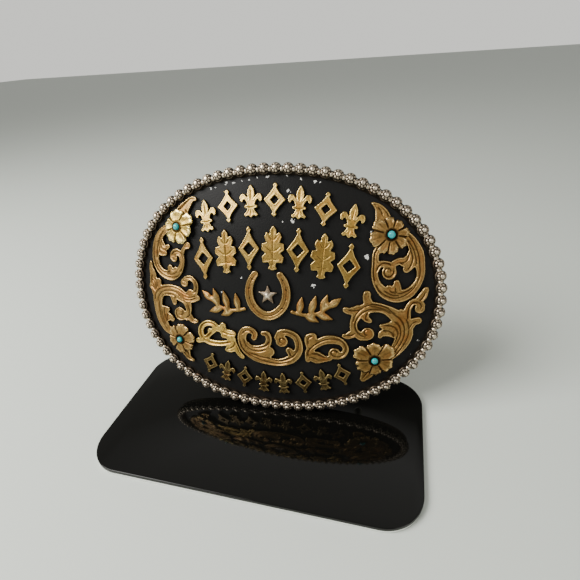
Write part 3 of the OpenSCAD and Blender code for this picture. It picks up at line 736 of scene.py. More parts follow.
# %% Engraved lines of the bottom scrolls
BOTTOM_CUTS = {
    "scroll_bottom_left": [
        [(-14.0, -15.8), (-16.4, -16.7), (-19.4, -17.2), (-22.6, -16.9), (-24.9, -15.2), (-25.2, -12.9),
         (-24.0, -10.9), (-22.0, -10.1), (-20.0, -10.5), (-18.8, -11.6)],
        [(-23.8, -15.9), (-22.2, -14.4), (-20.8, -13.0)],
        [(-12.8, -12.4), (-14.6, -12.3), (-16.2, -11.6), (-16.7, -10.4)],
        [(-12.9, -13.2), (-15.0, -13.3), (-17.4, -12.6)],
        [(-12.9, -15.6), (-13.4, -17.2), (-14.6, -18.2), (-15.8, -18.6)],
        [(-12.2, -16.6), (-11.9, -18.8), (-10.9, -20.4)],
    ],
    "scroll_bottom_middle": [
        [(-11.2, -14.8), (-10.7, -17.2), (-9.2, -19.0), (-6.6, -20.4), (-3.0, -21.6), (1.2, -22.0),
         (4.4, -21.2)],
        [(-9.9, -14.2), (-9.2, -16.4), (-7.2, -17.9), (-4.8, -18.2), (-2.4, -17.3)],
        [(-10.4, -12.8), (-9.4, -11.7), (-8.2, -11.2), (-7.0, -11.5), (-6.6, -12.6), (-6.3, -13.4)],
        [(-8.6, -15.4), (-7.0, -16.7), (-4.8, -16.9), (-2.4, -16.0), (-1.4, -14.2), (-1.9, -12.3),
         (-3.2, -11.8)],
        [(-8.0, -19.0), (-4.6, -20.0), (-1.6, -20.4), (1.6, -21.0), (4.0, -20.4), (6.2, -19.0),
         (7.6, -16.8), (7.9, -14.2), (6.9, -12.1), (4.8, -11.0), (2.6, -11.0)],
        [(5.6, -19.4), (5.0, -17.8), (4.8, -17.0)],
        [(3.9, -14.0), (3.1, -13.0), (2.2, -13.3), (2.1, -14.3), (2.9, -14.7)],
    ],
    "scroll_bottom_right": [
        [(10.8, -19.0), (11.1, -16.8), (12.9, -14.7), (15.6, -13.0), (18.6, -12.4), (21.2, -13.3),
         (22.4, -15.4), (21.8, -17.4), (20.4, -18.4)],
        [(11.8, -17.8), (13.4, -17.8), (15.0, -18.4), (16.6, -18.9)],
        [(11.2, -18.9), (12.8, -19.2), (14.0, -19.8)],
        [(10.9, -14.8), (10.9, -12.8), (11.8, -11.9), (12.6, -11.9)],
        [(19.2, -18.4), (18.2, -17.8), (18.0, -16.8), (18.8, -16.3), (19.6, -16.8), (19.4, -17.6)],
    ],
}
SCROLL_CUTS.update(BOTTOM_CUTS)
print("lines at the bottom:", sum(len(cuts) for cuts in BOTTOM_CUTS.values()))


# %% [markdown]
# Each scroll is cut with its lines and then antiqued. The one at the bottom left gets the bright gold of
# the top row, which paints on it the stronger light that falls on the left.


# %% The scrolls
BRIGHT_SCROLL = "scroll_bottom_left"
for node, cuts in SCROLL_CUTS.items():
    piece = carve(node, scroll_section, cuts)
    # The bright gold on this scroll is painted light from the left.
    if node == BRIGHT_SCROLL:
        finish_piece(piece, node, top_row_metal)
    else:
        finish_piece(piece, node, bronze_metal)


# %% [markdown]
# ## The small ornaments
#
# The ornaments of the three rows are soldered on the ground. Each is nearly flat: a thin polished
# border round a stippled floor. The top row is the brightest and the bottom row the darkest. Their
# lines are drawn once per kind, on an upright ornament of height 1, and turned and scaled to each one.


# %% Lines of the row ornaments
def both_sides(line):
    """A line of the right half, and its mirror image on the left."""
    return [line, [(-x, y) for x, y in line]]


KIND_CUTS = {
    "lozenge": [],
    "lily": [
        [(0, 0.36), (0, 0.2), (0, 0.02)],
        [(-0.16, -0.165), (0, -0.18), (0.16, -0.165)],
        [(0, -0.25), (0, -0.42)],
        *both_sides([(0.06, -0.27), (0.12, -0.38)]),
    ],
    "leaf": [
        [(0, 0.42), (0, 0.1), (0, -0.42)],
        *both_sides([(0, 0.16), (0.08, 0.22), (0.15, 0.3)]),
        *both_sides([(0, -0.08), (0.12, -0.03), (0.22, 0.03)]),
        *both_sides([(0, -0.26), (0.1, -0.25), (0.19, -0.25)]),
    ],
}
print("kinds of ornament:", len(KIND_CUTS))


# %% Row ornaments
ROW_KINDS = {
    "top": ["lily", "lozenge", "lily", "lozenge", "lily", "lozenge", "lily"],
    "mid": ["lozenge", "leaf", "lozenge", "leaf", "lozenge", "leaf", "lozenge"],
    "low": ["lozenge", "lily", "lozenge", "lily", "lily", "lozenge", "lily", "lozenge"],
}
ROW_METALS = {"top": top_row_metal, "mid": row_metal, "low": low_row_metal}
ROW_SLIM = {"top": 1.0, "mid": 0.75, "low": 1.0}
ROW_CUT_HALF_WIDTH = 0.3
ROW_CUT_DEPTH = 0.18


def upright_axis(node):
    """Middle, upward direction and height of an ornament, from the spread of its points."""
    flat = to_face(mesh_points(nodes[node].data))[:, :2]
    flat = np.unique(flat.round(3), axis=0)
    middle = flat.mean(axis=0)
    spread, axes = np.linalg.eigh(np.cov((flat - middle).T))
    along = axes[:, np.argmax(spread)]
    along = along * np.sign(along[1])
    reach = (flat - middle) @ along
    middle = middle + along * (reach.min() + reach.max()) / 2
    return middle, along, reach.max() - reach.min()


for row, kinds in ROW_KINDS.items():
    for k, kind in enumerate(kinds, 1):
        node = "row_" + row + "_" + str(k)
        middle, along, height = upright_axis(node)
        across = ROW_SLIM[row] * np.array([along[1], -along[0]])
        cuts = []
        for cut in KIND_CUTS[kind]:
            cuts.append([tuple(middle + (x * across + y * along) * height) for x, y in cut])
        piece = carve(node, bordered_section, cuts, ROW_CUT_HALF_WIDTH, ROW_CUT_DEPTH)
        finish_piece(piece, node, ROW_METALS[row])


# %% [markdown]
# ## The middle motif
#
# A horseshoe holds a star between two sprays of leaves. A horseshoe has one groove along its middle
# with nail holes in it, four on each side, found by walking along the shoe from its ends. The star and
# the leaves rise to a crest, as if filed.


# %% Horseshoe, star and sprays
SHOE_LINE = [(-5.5, 6.6), (-6.9, 4.4), (-7.5, 1.2), (-6.6, -2.4), (-4.2, -5.0), (-1.6, -5.9), (1.0, -5.0),
             (3.4, -2.4), (4.3, 1.2), (3.7, 4.4), (2.3, 6.6)]
NAIL_R = 0.4
NAIL_FIRST = 1.4
NAIL_EVERY = 3.1
NAILS_PER_SIDE = 4
SHOE_CUT_HALF_WIDTH = 0.34
SHOE_CUT_DEPTH = 0.22
shoe_points, _ = curve_samples(SHOE_LINE)
nails = []
for side in (1, -1):
    half = shoe_points[::side]
    passed = walked_along(half)
    for k in range(NAILS_PER_SIDE):
        spot = half[np.searchsorted(passed, NAIL_FIRST + k * NAIL_EVERY)]
        nails.append((spot[0], spot[1], NAIL_R))
horseshoe = carve("horseshoe", scroll_section, [SHOE_LINE], SHOE_CUT_HALF_WIDTH, SHOE_CUT_DEPTH, nails)
finish_piece(horseshoe, "horseshoe", bronze_metal)

star = carve("star", crested_section)
finish_piece(star, "star", silver_metal)

for spray in ("spray_left", "spray_right"):
    finish_piece(carve(spray, crested_section), spray, bronze_metal)
print("nail holes:", len(nails))


# %% [markdown]
# ## The flowers
#
# Each petal is cupped and ends in a ruffled edge, a dark line runs from every notch to the middle, and
# a raised ring holds the stone. Petals modelled one by one would meet in seams, so the casting is
# carved whole: a point's angle says which petal it is on, and its share of the way from the middle to
# the outline says how far out. The middle is read from the stone, and the notch angles are the
# flower's own.


# %% Petals of a flower
FLOWER_NOTCHES = {
    "upper_left": [10, 60, 135, 200, 262, 318],
    "upper_right": [30, 75, 115, 165, 225, 262, 305, 352],
    "lower_left": [42, 110, 165, 232, 290, 345],
    "lower_right": [5, 62, 122, 182, 253, 305],
}
RAY_STRENGTH = 1.35
RAY_HALF_WIDTH = 0.34


def petal_marks(angle, reach, notches):
    """Where each point lies across its petal, from 0 to 1, and how deep it is in a line."""
    along = np.zeros(len(angle))
    ray = np.zeros(len(angle))
    for k, notch in enumerate(notches):
        width = (notches[(k + 1) % len(notches)] - notch) % 360
        turn = (angle - notch) % 360
        along = np.where(turn < width, turn / width, along)
        off = np.abs((angle - notch + 180) % 360 - 180)
        away = reach * np.sin(np.radians(np.minimum(off, 90)))
        line = np.clip(RAY_STRENGTH * (1 - (away / RAY_HALF_WIDTH) ** 2), 0, 1)
        ray = np.maximum(ray, line * (off < 90))
    return along, ray


print("petals:", {corner: len(notches) for corner, notches in FLOWER_NOTCHES.items()})


# %% Flowers
FLOWER_VOXEL = 0.13
FLOWER_LOW = 1.2
FLOWER_TOP = 2.1
SEAT_R = 1.45
RUFFLES = 3
CUP_DEPTH = 0.26
RUFFLE_DEPTH = 0.05
RAY_DEPTH = 0.3
RING_DEPTH = 0.16
FOLD_DEPTH = 0.05
RIM_DROP = 0.2


def middle_of(node):
    """The middle of a node, on the face."""
    low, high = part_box(node)
    return to_face(np.array([(low + high) / 2]))[0]


def carve_flower(corner):
    """Cups the petals of one flower."""
    piece, points, distance = casting_copy("flower_" + corner, FLOWER_VOXEL)
    lift = lift_of(points)
    across = points[:, :2] - middle_of("stone_" + corner)[:2]
    reach = np.hypot(across[:, 0], across[:, 1])
    angle = np.degrees(np.arctan2(across[:, 1], across[:, 0])) % 360
    share = reach / np.maximum(reach + distance, SMALLEST)
    along, ray = petal_marks(angle, reach, FLOWER_NOTCHES[corner])
    ray = ray * eased(reach, SEAT_R + 0.35, SEAT_R + 0.9)
    swell = np.sin(np.pi * np.clip(along, 0, 1))
    cup = bell(share, 0.62, 0.2) * swell
    ruffle = np.cos(2 * np.pi * RUFFLES * along) * eased(share, 0.6, 0.95)
    seat_ring = bell(reach, SEAT_R + 0.42, 0.17)
    fold = np.clip(np.cos(4 * np.pi * along), 0, 1) ** 6 * eased(share, 0.35, 0.6) * swell
    fall = rounded_edge(np.maximum(distance, 0), 0.2) * (reach > SEAT_R + 0.6)
    fall = fall + CUP_DEPTH * cup + RUFFLE_DEPTH * (1 + ruffle) + RAY_DEPTH * ray
    fall = fall + RING_DEPTH * seat_ring + FOLD_DEPTH * fold + RIM_DROP * eased(share, 0.86, 1.0)
    in_seat = reach < SEAT_R + 0.08
    upper = np.where(in_seat, 0, eased(lift, FLOWER_LOW + 0.15, FLOWER_TOP - 0.08))
    set_mesh_points(piece.data, from_face(move_lift(points, -fall * upper)))
    dark = 0.95 * ray + 0.5 * seat_ring + 0.3 * fold + 0.12 * cup
    dark = dark + 1 - eased(reach, SEAT_R + 0.15, SEAT_R + 0.5)
    wall = eased(-lift, -FLOWER_TOP + 0.35, -FLOWER_LOW) * (1 - in_seat)
    store(piece.data, "cut", np.clip(dark + 0.6 * wall, 0, 1))
    store(piece.data, "rim", eased(share, 0.8, 0.95) * (1 - ray) * (1 - in_seat))
    print(piece.name, "has", len(piece.data.polygons), "faces")
    return piece


# The upper left flower, nearest the window, gets the pale gold: painted light on a flower of the same
# bronze as the rest.
for corner in FLOWER_NOTCHES:
    slot, metal = ("gold", window_lit_gold_metal) if corner == "upper_left" else ("bronze", bronze_metal)
    finish_piece(carve_flower(corner), "flower_" + corner, metal)


# %% [markdown]
# ## The stones
#
# A cabochon is a round stone with a smooth dome, and it could be spun from half a profile. Here a
# sphere is flattened, cut off flat where it meets its seat, and stood square on the dome of the face.
# Each of the four has its own size, as stones cut by hand have.


# %% Stones
STONE_RADII = {"upper_left": 1.05, "upper_right": 1.10, "lower_left": 0.94, "lower_right": 1.0}
STONE_SEAT_LIFT = 1.75
STONE_TOP_LIFT = 2.85
STONE_FLATTEN = 0.85


def upright_matrix(x, y, lift, spin=0.0):
    """A matrix that stands a piece square on the dome, in scene units."""
    place = on_dome(x, y, lift)
    outward = Vector(place - BALL_MIDDLE).normalized()
    local = outward.to_track_quat("Z", "Y").to_matrix().to_4x4() @ Matrix.Rotation(spin, 4, "Z")
    axes = Matrix(FACE_AXES.tolist()).to_4x4()
    return Matrix.Translation(Vector(from_face(place))) @ axes @ local


for corner, stone_r in STONE_RADII.items():
    bpy.ops.object.select_all(action="DESELECT")
    bpy.ops.mesh.primitive_uv_sphere_add(segments=48, ring_count=24, radius=stone_r * MM)
    stone = bpy.context.active_object
    stone.name = "cabochon_" + corner
    edit_all(stone)
    bpy.ops.transform.resize(value=(1, 1, STONE_FLATTEN))
    sphere_lift = STONE_TOP_LIFT - stone_r * STONE_FLATTEN
    seat = (0, 0, (STONE_SEAT_LIFT - sphere_lift) * MM)
    bpy.ops.mesh.bisect(plane_co=seat, plane_no=(0, 0, 1), use_fill=True, clear_inner=True)
    bpy.ops.object.mode_set(mode="OBJECT")
    middle = middle_of("stone_" + corner)
    stone.data.transform(upright_matrix(middle[0], middle[1], sphere_lift))
    finish_piece(stone, "stone_" + corner, turquoise_stone, 40)
print("stones set:", len(STONE_RADII))


# %% [markdown]
# ## The bead edge
#
# Beads stand shoulder to shoulder on an oval that is a little squarer than an ellipse, and a small ball
# fills each gap between two of them. Their places are found by walking along the oval in equal steps:
# equal angles would crowd them at the ends. The sizes are those of the CAD source.


# %% The oval and its bead places
OVAL_POWER = 2.15
BEAD_D = 3.35
BEAD_GAP = 0.25
EDGE_MARGIN = 0.25
BAND_LOW = -1.6
BAND_TOP = 0.5
BUCKLE_W = 102.0
BUCKLE_H = 79.0
BEAD_LINE = ((BUCKLE_W - BEAD_D) / 2, (BUCKLE_H - BEAD_D) / 2)
BAND_OUT = (BEAD_LINE[0] + BEAD_D / 4, BEAD_LINE[1] + BEAD_D / 4)
BAND_IN = (BEAD_LINE[0] - BEAD_D / 2 - EDGE_MARGIN, BEAD_LINE[1] - BEAD_D / 2 - EDGE_MARGIN)
PLATE_HALF = (BAND_IN[0] - 0.05, BAND_IN[1] - 0.05)
BEAD_LIFT = BAND_TOP + BEAD_D / 10


def oval_points(half, degrees):
    """Points of the squarish oval at these angles."""
    angle = np.radians(degrees)
    c = np.cos(angle)
    s = np.sin(angle)
    power = 2 / OVAL_POWER
    x = half[0] * np.sign(c) * np.abs(c) ** power
    y = half[1] * np.sign(s) * np.abs(s) ** power
    return np.stack([x, y], axis=-1)


DEGREES = np.arange(361)
walk_points = oval_points(BEAD_LINE, DEGREES)
walked = walked_along(walk_points)
bead_count = 4 * round(walked[-1] / (BEAD_D + BEAD_GAP) / 4)


def bead_places(offset=0.0):
    """Places on the bead line, evenly spaced."""
    lengths = (np.arange(bead_count) + offset) * walked[-1] / bead_count
    return oval_points(BEAD_LINE, np.interp(lengths, walked, DEGREES))


print("beads:", bead_count)


# %% [markdown]
# Each bead is a small rosette: a bright button in a dark ring, with eight petals round it. It is
# modelled once, from a sphere whose rings of vertices are pushed in along their normals. The first
# push cuts the ring, the second rounds the shoulder of the button, and the others cut the lines between
# the petals, round their feet and drop their outer ends. The limits are angles from the bead's top.


# %% One rosette, from a sphere
BEAD_R = 1.75
BEAD_SEGMENTS = 32
BEAD_RINGS = 24
PETALS_PER_BEAD = 8
PETAL_LINE_HALF = 2
PETALS_FROM = 34
PETALS_TO = 70


def push_vertices(piece, chosen, distance_mm):
    """Pushes the chosen vertices out along their normals, or in where the distance is negative."""
    bpy.ops.object.mode_set(mode="EDIT")
    bpy.ops.mesh.select_all(action="DESELECT")
    bpy.ops.mesh.select_mode(type="VERT")
    bpy.ops.object.mode_set(mode="OBJECT")
    for vertex in piece.data.vertices:
        vertex.select = chosen(vertex.co)
    bpy.ops.object.mode_set(mode="EDIT")
    bpy.ops.transform.shrink_fatten(value=distance_mm * MM)
    bpy.ops.object.mode_set(mode="OBJECT")


def tilt_of(point):
    """Angle of a point of the bead from its top, in degrees."""
    return math.degrees(math.acos(max(-1, min(1, point.z / point.length))))


def between_petals(point):
    """Whether a point lies on a line between two petals."""
    step = 360 / PETALS_PER_BEAD
    turn = math.degrees(math.atan2(point.y, point.x)) % step
    return min(turn, step - turn) < PETAL_LINE_HALF


bpy.ops.object.select_all(action="DESELECT")
bpy.ops.mesh.primitive_uv_sphere_add(segments=BEAD_SEGMENTS, ring_count=BEAD_RINGS, radius=BEAD_R * MM)
bead = bpy.context.active_object
push_vertices(bead, lambda p: 27 < tilt_of(p) < 33, -0.30)
push_vertices(bead, lambda p: 19 < tilt_of(p) < 25, -0.04)
push_vertices(bead, lambda p: PETALS_FROM < tilt_of(p) < PETALS_TO and between_petals(p), -0.26)
push_vertices(bead, lambda p: PETALS_FROM < tilt_of(p) < 40, -0.08)
push_vertices(bead, lambda p: 64 < tilt_of(p) < 78, -0.18)
print("rosette faces:", len(bead.data.polygons))


# %% [markdown]
# The rosette is copied round the oval, each copy turned by a chance angle, as beads that roll into
# place are. The small balls, called reels here, are copied to the gaps, a little inside the bead line.
# Each copy has its own mesh, so that all of them can be joined to the band.


# %% Beads and reels round the oval
REEL_R = 0.80
REEL_INSET = 0.25
REEL_LIFT = 1.0
TURN_SEED = 7
random_turns = np.random.default_rng(TURN_SEED).uniform(0, 2 * math.pi, bead_count)


def placed_copy(name, mesh, matrix):
    """A copy with its own mesh, moved to its place."""
    copy = bpy.data.objects.new(name, mesh.copy())
    bpy.context.scene.collection.objects.link(copy)
    copy.data.transform(matrix)
    return copy


centres = bead_places()
beads = []
for turn, (x, y) in zip(random_turns, centres):
    beads.append(placed_copy("bead", bead.data, upright_matrix(x, y, BEAD_LIFT, turn)))

bpy.ops.object.select_all(action="DESELECT")
bpy.ops.mesh.primitive_uv_sphere_add(segments=16, ring_count=10, radius=REEL_R * MM)
reel = bpy.context.active_object
for spot in bead_places(0.5):
    x, y = spot * (1 - REEL_INSET / np.hypot(*spot))
    beads.append(placed_copy("reel", reel.data, upright_matrix(x, y, REEL_LIFT)))
for used in (bead, reel):
    bpy.data.objects.remove(used)
print("beads and reels:", len(beads))


# %% [markdown]
# Under the beads runs a band of silver with softened edges, which carries them and follows the dome.
# A ring spun round a middle would be circular and flat, so the section is laid along the oval, point by
# point, on the ball. Band, beads and reels are then joined into one piece, as soldered metal is.


# %% The band under the beads
BAND_SIDES = 360
BAND_ROUND = 0.18
BAND_SOFT = 0.05


def piece_from(name, rows, faces):
    """A new object from rows of face points and their faces."""
    mesh = bpy.data.meshes.new(name)
    mesh.from_pydata(from_face(np.concatenate(rows)).tolist(), [], faces)
    piece = bpy.data.objects.new(name, mesh)
    bpy.context.scene.collection.objects.link(piece)
    return piece


def ring_mesh(name, sections):
    """A closed ring through sections: each is a half size pair and a lift."""
    angles = np.arange(BAND_SIDES) * 360 / BAND_SIDES
    rows = [on_dome(*oval_points(half, angles).T, lift) for half, lift in sections]
    faces = []
    for s in range(len(sections)):
        low = s * BAND_SIDES
        up = (s + 1) % len(sections) * BAND_SIDES
        for k in range(BAND_SIDES):
            following = (k + 1) % BAND_SIDES
            faces.append((low + k, low + following, up + following, up + k))
    piece = piece_from(name, rows, faces)
    edit_all(piece)
    bpy.ops.mesh.normals_make_consistent(inside=False)
    bpy.ops.object.mode_set(mode="OBJECT")
    return piece


def grown(half, by):
    """Half sizes made larger by a distance."""
    return (half[0] + by, half[1] + by)


rim = ring_mesh(
    "band",
    [
        (BAND_IN, BAND_LOW),
        (BAND_IN, 0.0),
        (grown(BAND_IN, 0.15), 0.06),
        (grown(BAND_IN, 0.9), BAND_TOP - BAND_SOFT),
        (grown(BAND_IN, 1.1), BAND_TOP),
        (grown(BAND_OUT, -BAND_ROUND), BAND_TOP),
        (grown(BAND_OUT, -0.06), BAND_TOP - BAND_SOFT),
        (BAND_OUT, BAND_TOP - BAND_ROUND),
        (BAND_OUT, BAND_LOW),
    ],
)
select_only(rim)
for piece in beads:
    piece.select_set(True)
bpy.ops.object.join()
rim.name = "bead_rim"
print("joined into", rim.name, "with", len(rim.data.polygons), "faces")


# %% [markdown]
# Patina lies where polishing can't reach: in the ring round each button and between the petals. Low on
# the beads' sides, where they meet the band, the dark is patina and painted shade, and all over the band
# it is the beads' painted shadow. The back of the band is plain. Every point is measured from the
# nearest bead: how deep it lies under that bead's round surface, and how far round from its top.


# %% Patina and painted shade of the bead edge
TOUCH = 0.01
points = to_face(mesh_points(rim.data))
lift = lift_of(points)
centre_points = on_dome(centres[:, 0], centres[:, 1], BEAD_LIFT)
search = kdtree.KDTree(bead_count)
for k, centre in enumerate(centre_points):
    search.insert(centre, k)
search.balance()
hits = [search.find(point) for point in points]
owner = np.array([hit[1] for hit in hits])
away = np.array([hit[2] for hit in hits])
outward = centre_points[owner] - BALL_MIDDLE
outward = outward / np.linalg.norm(outward, axis=1)[:, None]
offset = points - centre_points[owner]
tilt = np.degrees(np.arccos(np.clip((offset * outward).sum(1) / np.maximum(away, SMALLEST), -1, 1)))

on_bead = away < BEAD_R + TOUCH
is_reel = (lift > BAND_TOP + 0.02) & (away > BEAD_R + 2 * TOUCH)
bare_back = ~on_bead & (lift < BAND_LOW / 2)
hollow = eased(BEAD_R - away, 0.04, 0.17) * (tilt < 80)
# Low on the beads' sides, where they meet the band, the dark is patina and painted shade.
bead_patina_and_shade = np.maximum(hollow, 0.9 * eased(tilt, 72, 98))
# The band, all that is not a bead, a reel or the back, is painted fully dark: the beads' painted shadow.
dark = np.select([bare_back, is_reel, on_bead], [0.25, 0.05, bead_patina_and_shade], 1.0)
store(rim.data, "cut", np.clip(dark, 0, 1))
button = 0.75 * (1 - eased(tilt, 22, 27))
petal_tops = 0.35 * (1 - eased(tilt, 60, 80)) * (1 - hollow)
store(rim.data, "rim", np.select([on_bead, is_reel], [np.maximum(button, petal_tops), 0.7], 0.0))
finish_piece(rim, "bead_edge", silver_metal, 50)
print("share of the rim on beads:", round(float(on_bead.mean()), 3))


# %% [markdown]
# ## The face plate
#
# The ground is one smooth cap of the ball. A disc could be bent to it, but here the cap is laid out in
# rings from the middle to the edge, which gives the gloss a surface without facets. Only the front is
# blackened: behind it lies a second cap of bare metal, and together they have the thickness of the
# plate. Both run a hair into the band, so that no light shines through.


# %% A cap of the ball
PLATE_SIDES = 360
PLATE_INTO_BAND = 0.12


def cap_mesh(name, half, top, low, front_rings, back_rings):
    """A closed cap of the ball between two lifts, in rings of faces."""
    edge = oval_points(half, np.arange(PLATE_SIDES) * 360 / PLATE_SIDES)
    rings = [(top, ring / front_rings) for ring in range(1, front_rings + 1)]
    rings = rings + [(low, ring / back_rings) for ring in range(back_rings, 0, -1)]
    rows = [on_dome(*(edge * share).T, lift) for lift, share in rings]
    rows = [on_dome(0, 0, top)[None, :]] + rows + [on_dome(0, 0, low)[None, :]]
    last_ring = 1 + (len(rings) - 1) * PLATE_SIDES
    last = last_ring + PLATE_SIDES
    faces = []
    for k in range(PLATE_SIDES):
        following = (k + 1) % PLATE_SIDES
        faces.append((0, 1 + k, 1 + following))
        for a in range(1, last_ring, PLATE_SIDES):
            b = a + PLATE_SIDES
            faces.append((a + k, b + k, b + following, a + following))
        faces.append((last_ring + k, last, last_ring + following))
    return piece_from(name, rows, faces)


plate_half = grown(PLATE_HALF, PLATE_INTO_BAND)
print("half sizes of the plate:", plate_half)


# %% Face plate
PLATE_LOW = -1.2
BLACK_LOW = -0.5
GROUND_RINGS = 70
HIDDEN_RINGS = 8
BACK_RINGS = 20
BACK_GAP = 0.01
BACK_INSET = 0.03
# Each chip's place on the face, and its reach
CHIP_PLACES = [
    (-20.8, 32.2, 0.42), (-19.3, 32.4, 0.35), (-15.6, 33.5, 0.68), (-13.5, 33.8, 0.51), (-10.9, 34.4, 0.35),
    (-8.4, 34.5, 0.35), (-5.4, 35.2, 0.42), (-2.6, 35.5, 0.68), (3.3, 35.6, 0.59), (7.4, 34.8, 0.42),
    (11.6, 34.0, 0.59), (13.3, 33.8, 0.42), (3.8, 31.4, 0.59), (2.4, 22.6, 0.51), (5.5, 22.9, 0.68),
    (-10.1, 5.4, 0.42), (-16.8, 0.4, 0.35), (27.3, 12.7, 0.77), (12.1, 4.0, 0.59), (28.1, 20.0, 0.35),
    (43.6, -13.1, 0.51), (41.6, -17.2, 0.35),
]
ground = cap_mesh("ground", plate_half, 0.0, BLACK_LOW, GROUND_RINGS, HIDDEN_RINGS)
points = to_face(mesh_points(ground.data))
chip = np.zeros(len(points))
for x, y, reach in CHIP_PLACES:
    away = np.hypot(points[:, 0] - x, points[:, 1] - y)
    chip = np.maximum(chip, np.clip(1.7 - away / reach, 0, 1))
store(ground.data, "chip", chip * (lift_of(points) > BLACK_LOW / 2))
finish_piece(ground, "face_plate", ground_black, 40)

back_half = grown(plate_half, -BACK_INSET)
plate_back = cap_mesh("plate_back", back_half, BLACK_LOW - BACK_GAP, PLATE_LOW, HIDDEN_RINGS, BACK_RINGS)
finish_piece(plate_back, "face_plate", bare_metal, 40)
print("ground faces:", len(ground.data.polygons), "and back faces:", len(plate_back.data.polygons))


# %% [markdown]
# ## Loop, prong and stand
#
# The belt's loop and prong and the stand's post are hidden by the face. They are plain, so they keep
# the shape of the frame: a copy of each is merged, smoothed between its edges and given its metal or
# its gloss.


# %% Belt fittings and post
HIDDEN_PIECES = {
    "belt_loop": ("silver", bare_metal),
    "belt_prong": ("silver", bare_metal),
    "stand_post": ("stand_black", stand_gloss),
}
for node, (slot, material) in HIDDEN_PIECES.items():
    finish_piece(copy_of_node(node, "smooth_" + node), node, material, 30)
print("hidden pieces:", list(HIDDEN_PIECES))


# %% [markdown]
# The stand's plate is glossy black with a soft edge. Under it, a thin foot of bare metal shows as a
# pale line along the front, and a pad, set in a little, lifts both off the table and leaves a fine
# shadow. All three are slabs with round corners, so one helper makes them: a cube takes the slab's
# size, its upright edges are bevelled round, and then its upper edge is bevelled soft.


# %% Stand base
base_low, base_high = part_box("stand_base")
CORNER_R = 11.2 * MM
PAD_T = 0.3 * MM
PAD_INSET = 1.2 * MM
FOOT_T = 0.6 * MM
FOOT_INSET = 0.06 * MM
EDGE_SOFT = 0.25 * MM
THIN_EDGE_SOFT = 0.05 * MM


def bevel_edges(piece, chosen, offset, segments):
    """Bevels the edges whose two end heights a rule picks."""
    select_only(piece)
    bpy.ops.object.mode_set(mode="EDIT")
    bpy.ops.mesh.select_all(action="DESELECT")
    bpy.ops.mesh.select_mode(type="EDGE")
    bpy.ops.object.mode_set(mode="OBJECT")
    for edge in piece.data.edges:
        a, b = (piece.data.vertices[v].co.z for v in edge.vertices)
        edge.select = chosen(a, b)
    bpy.ops.object.mode_set(mode="EDIT")
    bpy.ops.mesh.bevel(offset=offset, segments=segments)
    bpy.ops.object.mode_set(mode="OBJECT")


def rounded_plate(name, low, high, inset, soft):
    """A plate with round corners, and with a softened upper edge."""
    size = base_high - base_low
    middle = (base_low + base_high) / 2
    bpy.ops.object.select_all(action="DESELECT")
    bpy.ops.mesh.primitive_cube_add(size=1, location=(middle.x, middle.y, (low + high) / 2))
    plate = bpy.context.active_object
    plate.name = name
    plate.scale = (size.x - 2 * inset, size.y - 2 * inset, high - low)
    bpy.ops.object.transform_apply(location=True, rotation=True, scale=True)
    bevel_edges(plate, lambda a, b: abs(a - b) > (high - low) / 2, CORNER_R - inset, 24)
    bevel_edges(plate, lambda a, b: min(a, b) > high - MERGE, soft, 4)
    return plate


foot_low = base_low.z + PAD_T
plate = rounded_plate("stand_plate", foot_low + FOOT_T, base_high.z, 0, EDGE_SOFT)
finish_piece(plate, "stand_base", stand_gloss, 30)
foot = rounded_plate("stand_foot", foot_low, foot_low + FOOT_T, FOOT_INSET, THIN_EDGE_SOFT)
finish_piece(foot, "stand_base", stand_edge, 30)
pad = rounded_plate("stand_pad", base_low.z, foot_low, PAD_INSET, THIN_EDGE_SOFT)
finish_piece(pad, "stand_base", stand_gloss, 30)
print("thickness of the stand:", round((base_high.z - base_low.z) / MM, 2), "mm")


# %% [markdown]
# ## Table, light and camera
#
# The buckle stands on a pale table. Metal shows what it mirrors, so the room matters as much as the
# lights. It is bright low behind the buckle and on the ceiling, shaded between the two, less so on the
# left, and dimmer in front, which keeps the polished metal from looking flat and the stand black.


# %% Table and room
TABLE_GAP = 0.02 * MM
bpy.ops.object.select_all(action="DESELECT")
bpy.ops.mesh.primitive_plane_add(size=6, location=(0, 0, base_low.z - TABLE_GAP))
table = bpy.context.active_object
table.name = "table"
table.data.materials.append(new_material("pale table", 0.6, colour=(0.65, 0.70, 0.65))[0])

LOW_WALL = (0.90, 0.90, 0.85)
SHADE_LEFT = (0.36, 0.36, 0.33)
SHADE_RIGHT = (0.10, 0.10, 0.09)
CEILING = (1.15, 1.15, 1.1)
ROOM_IN_FRONT = (0.34, 0.335, 0.32)
world = bpy.data.worlds.new("soft room")
bpy.context.scene.world = world
world.use_nodes = True
sky = world.node_tree
direction = sky.nodes.new("ShaderNodeSeparateXYZ")
sky.links.new(sky.nodes.new("ShaderNodeTexCoord").outputs["Generated"], direction.inputs[0])
behind = ramp(sky, direction.outputs["Y"], 0.1, 0.7)
shaded = ramp(sky, direction.outputs["Z"], 0.25, 0.55)
ceiling = ramp(sky, direction.outputs["Z"], 0.70, 0.82)
right_side = ramp(sky, direction.outputs["X"], -0.5, -0.15)
shade = mixed(sky, right_side, SHADE_LEFT, SHADE_RIGHT)
wall = mixed(sky, ceiling, mixed(sky, shaded, LOW_WALL, shade), CEILING)
room_colour = mixed(sky, behind, ROOM_IN_FRONT, wall)
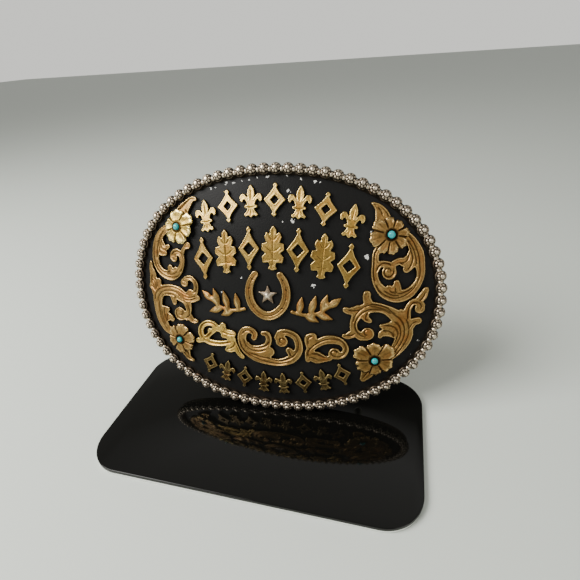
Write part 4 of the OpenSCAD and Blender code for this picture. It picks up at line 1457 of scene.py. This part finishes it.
sky.links.new(room_colour, sky.nodes["Background"].inputs["Color"])
print("world:", world.name)


# %% [markdown]
# Two large panels give broad soft highlights instead of hard points: a strong one at the upper left,
# where a window would be, and a weak warm one at the right that fills the shadows.


# %% Panels of light
def add_panel(name, place, size, power, colour):
    """A soft panel light at a place, facing the middle of the buckle."""
    light = bpy.data.lights.new(name, "AREA")
    light.shape = "SQUARE"
    light.size = size
    light.energy = power
    light.color = colour
    lamp = bpy.data.objects.new(name, light)
    lamp.location = place
    lamp.rotation_euler = (Vector((0, 0, 0.03)) - Vector(place)).to_track_quat("-Z", "Y").to_euler()
    bpy.context.scene.collection.objects.link(lamp)
    return lamp


window = add_panel("window", (-0.34, -0.22, 0.42), 0.34, 6.0, (1.0, 0.98, 0.94))
fill = add_panel("room", (0.45, -0.35, 0.35), 0.3, 0.8, (1.0, 0.95, 0.88))
print("lights:", window.name, "and", fill.name)


# %% [markdown]
# The camera's place, turns and lens come from a fit to the photograph: the outline of the stand's
# plate, the oval rim and its mirror image in the plate, the stones, and a few marks on the face. A
# camera looks down its own z axis, so it is turned up to the horizon less its pitch, swung to its
# azimuth, and rolled a little about its own line of sight.


# %% Camera at the photograph's angle
CAMERA_AT = Vector((37.44, -84.5, 106.1)) * MM
AZIMUTH = math.radians(16.61)
PITCH = math.radians(31.13)
ROLL = math.radians(-4.29)
PHOTO_SIZE = 580
FOCAL_PIXELS = 405.7
SENSOR = 36
camera_data = bpy.data.cameras.new("camera")
camera_data.sensor_width = SENSOR
camera_data.lens = FOCAL_PIXELS / PHOTO_SIZE * SENSOR
camera_data.clip_start = 0.005
camera = bpy.data.objects.new("camera", camera_data)
swung = Matrix.Rotation(AZIMUTH, 4, "Z") @ Matrix.Rotation(math.pi / 2 - PITCH, 4, "X")
camera.matrix_world = Matrix.Translation(CAMERA_AT) @ swung @ Matrix.Rotation(ROLL, 4, "Z")
bpy.context.scene.collection.objects.link(camera)
bpy.context.scene.camera = camera
print("lens:", round(camera_data.lens, 2), "mm")
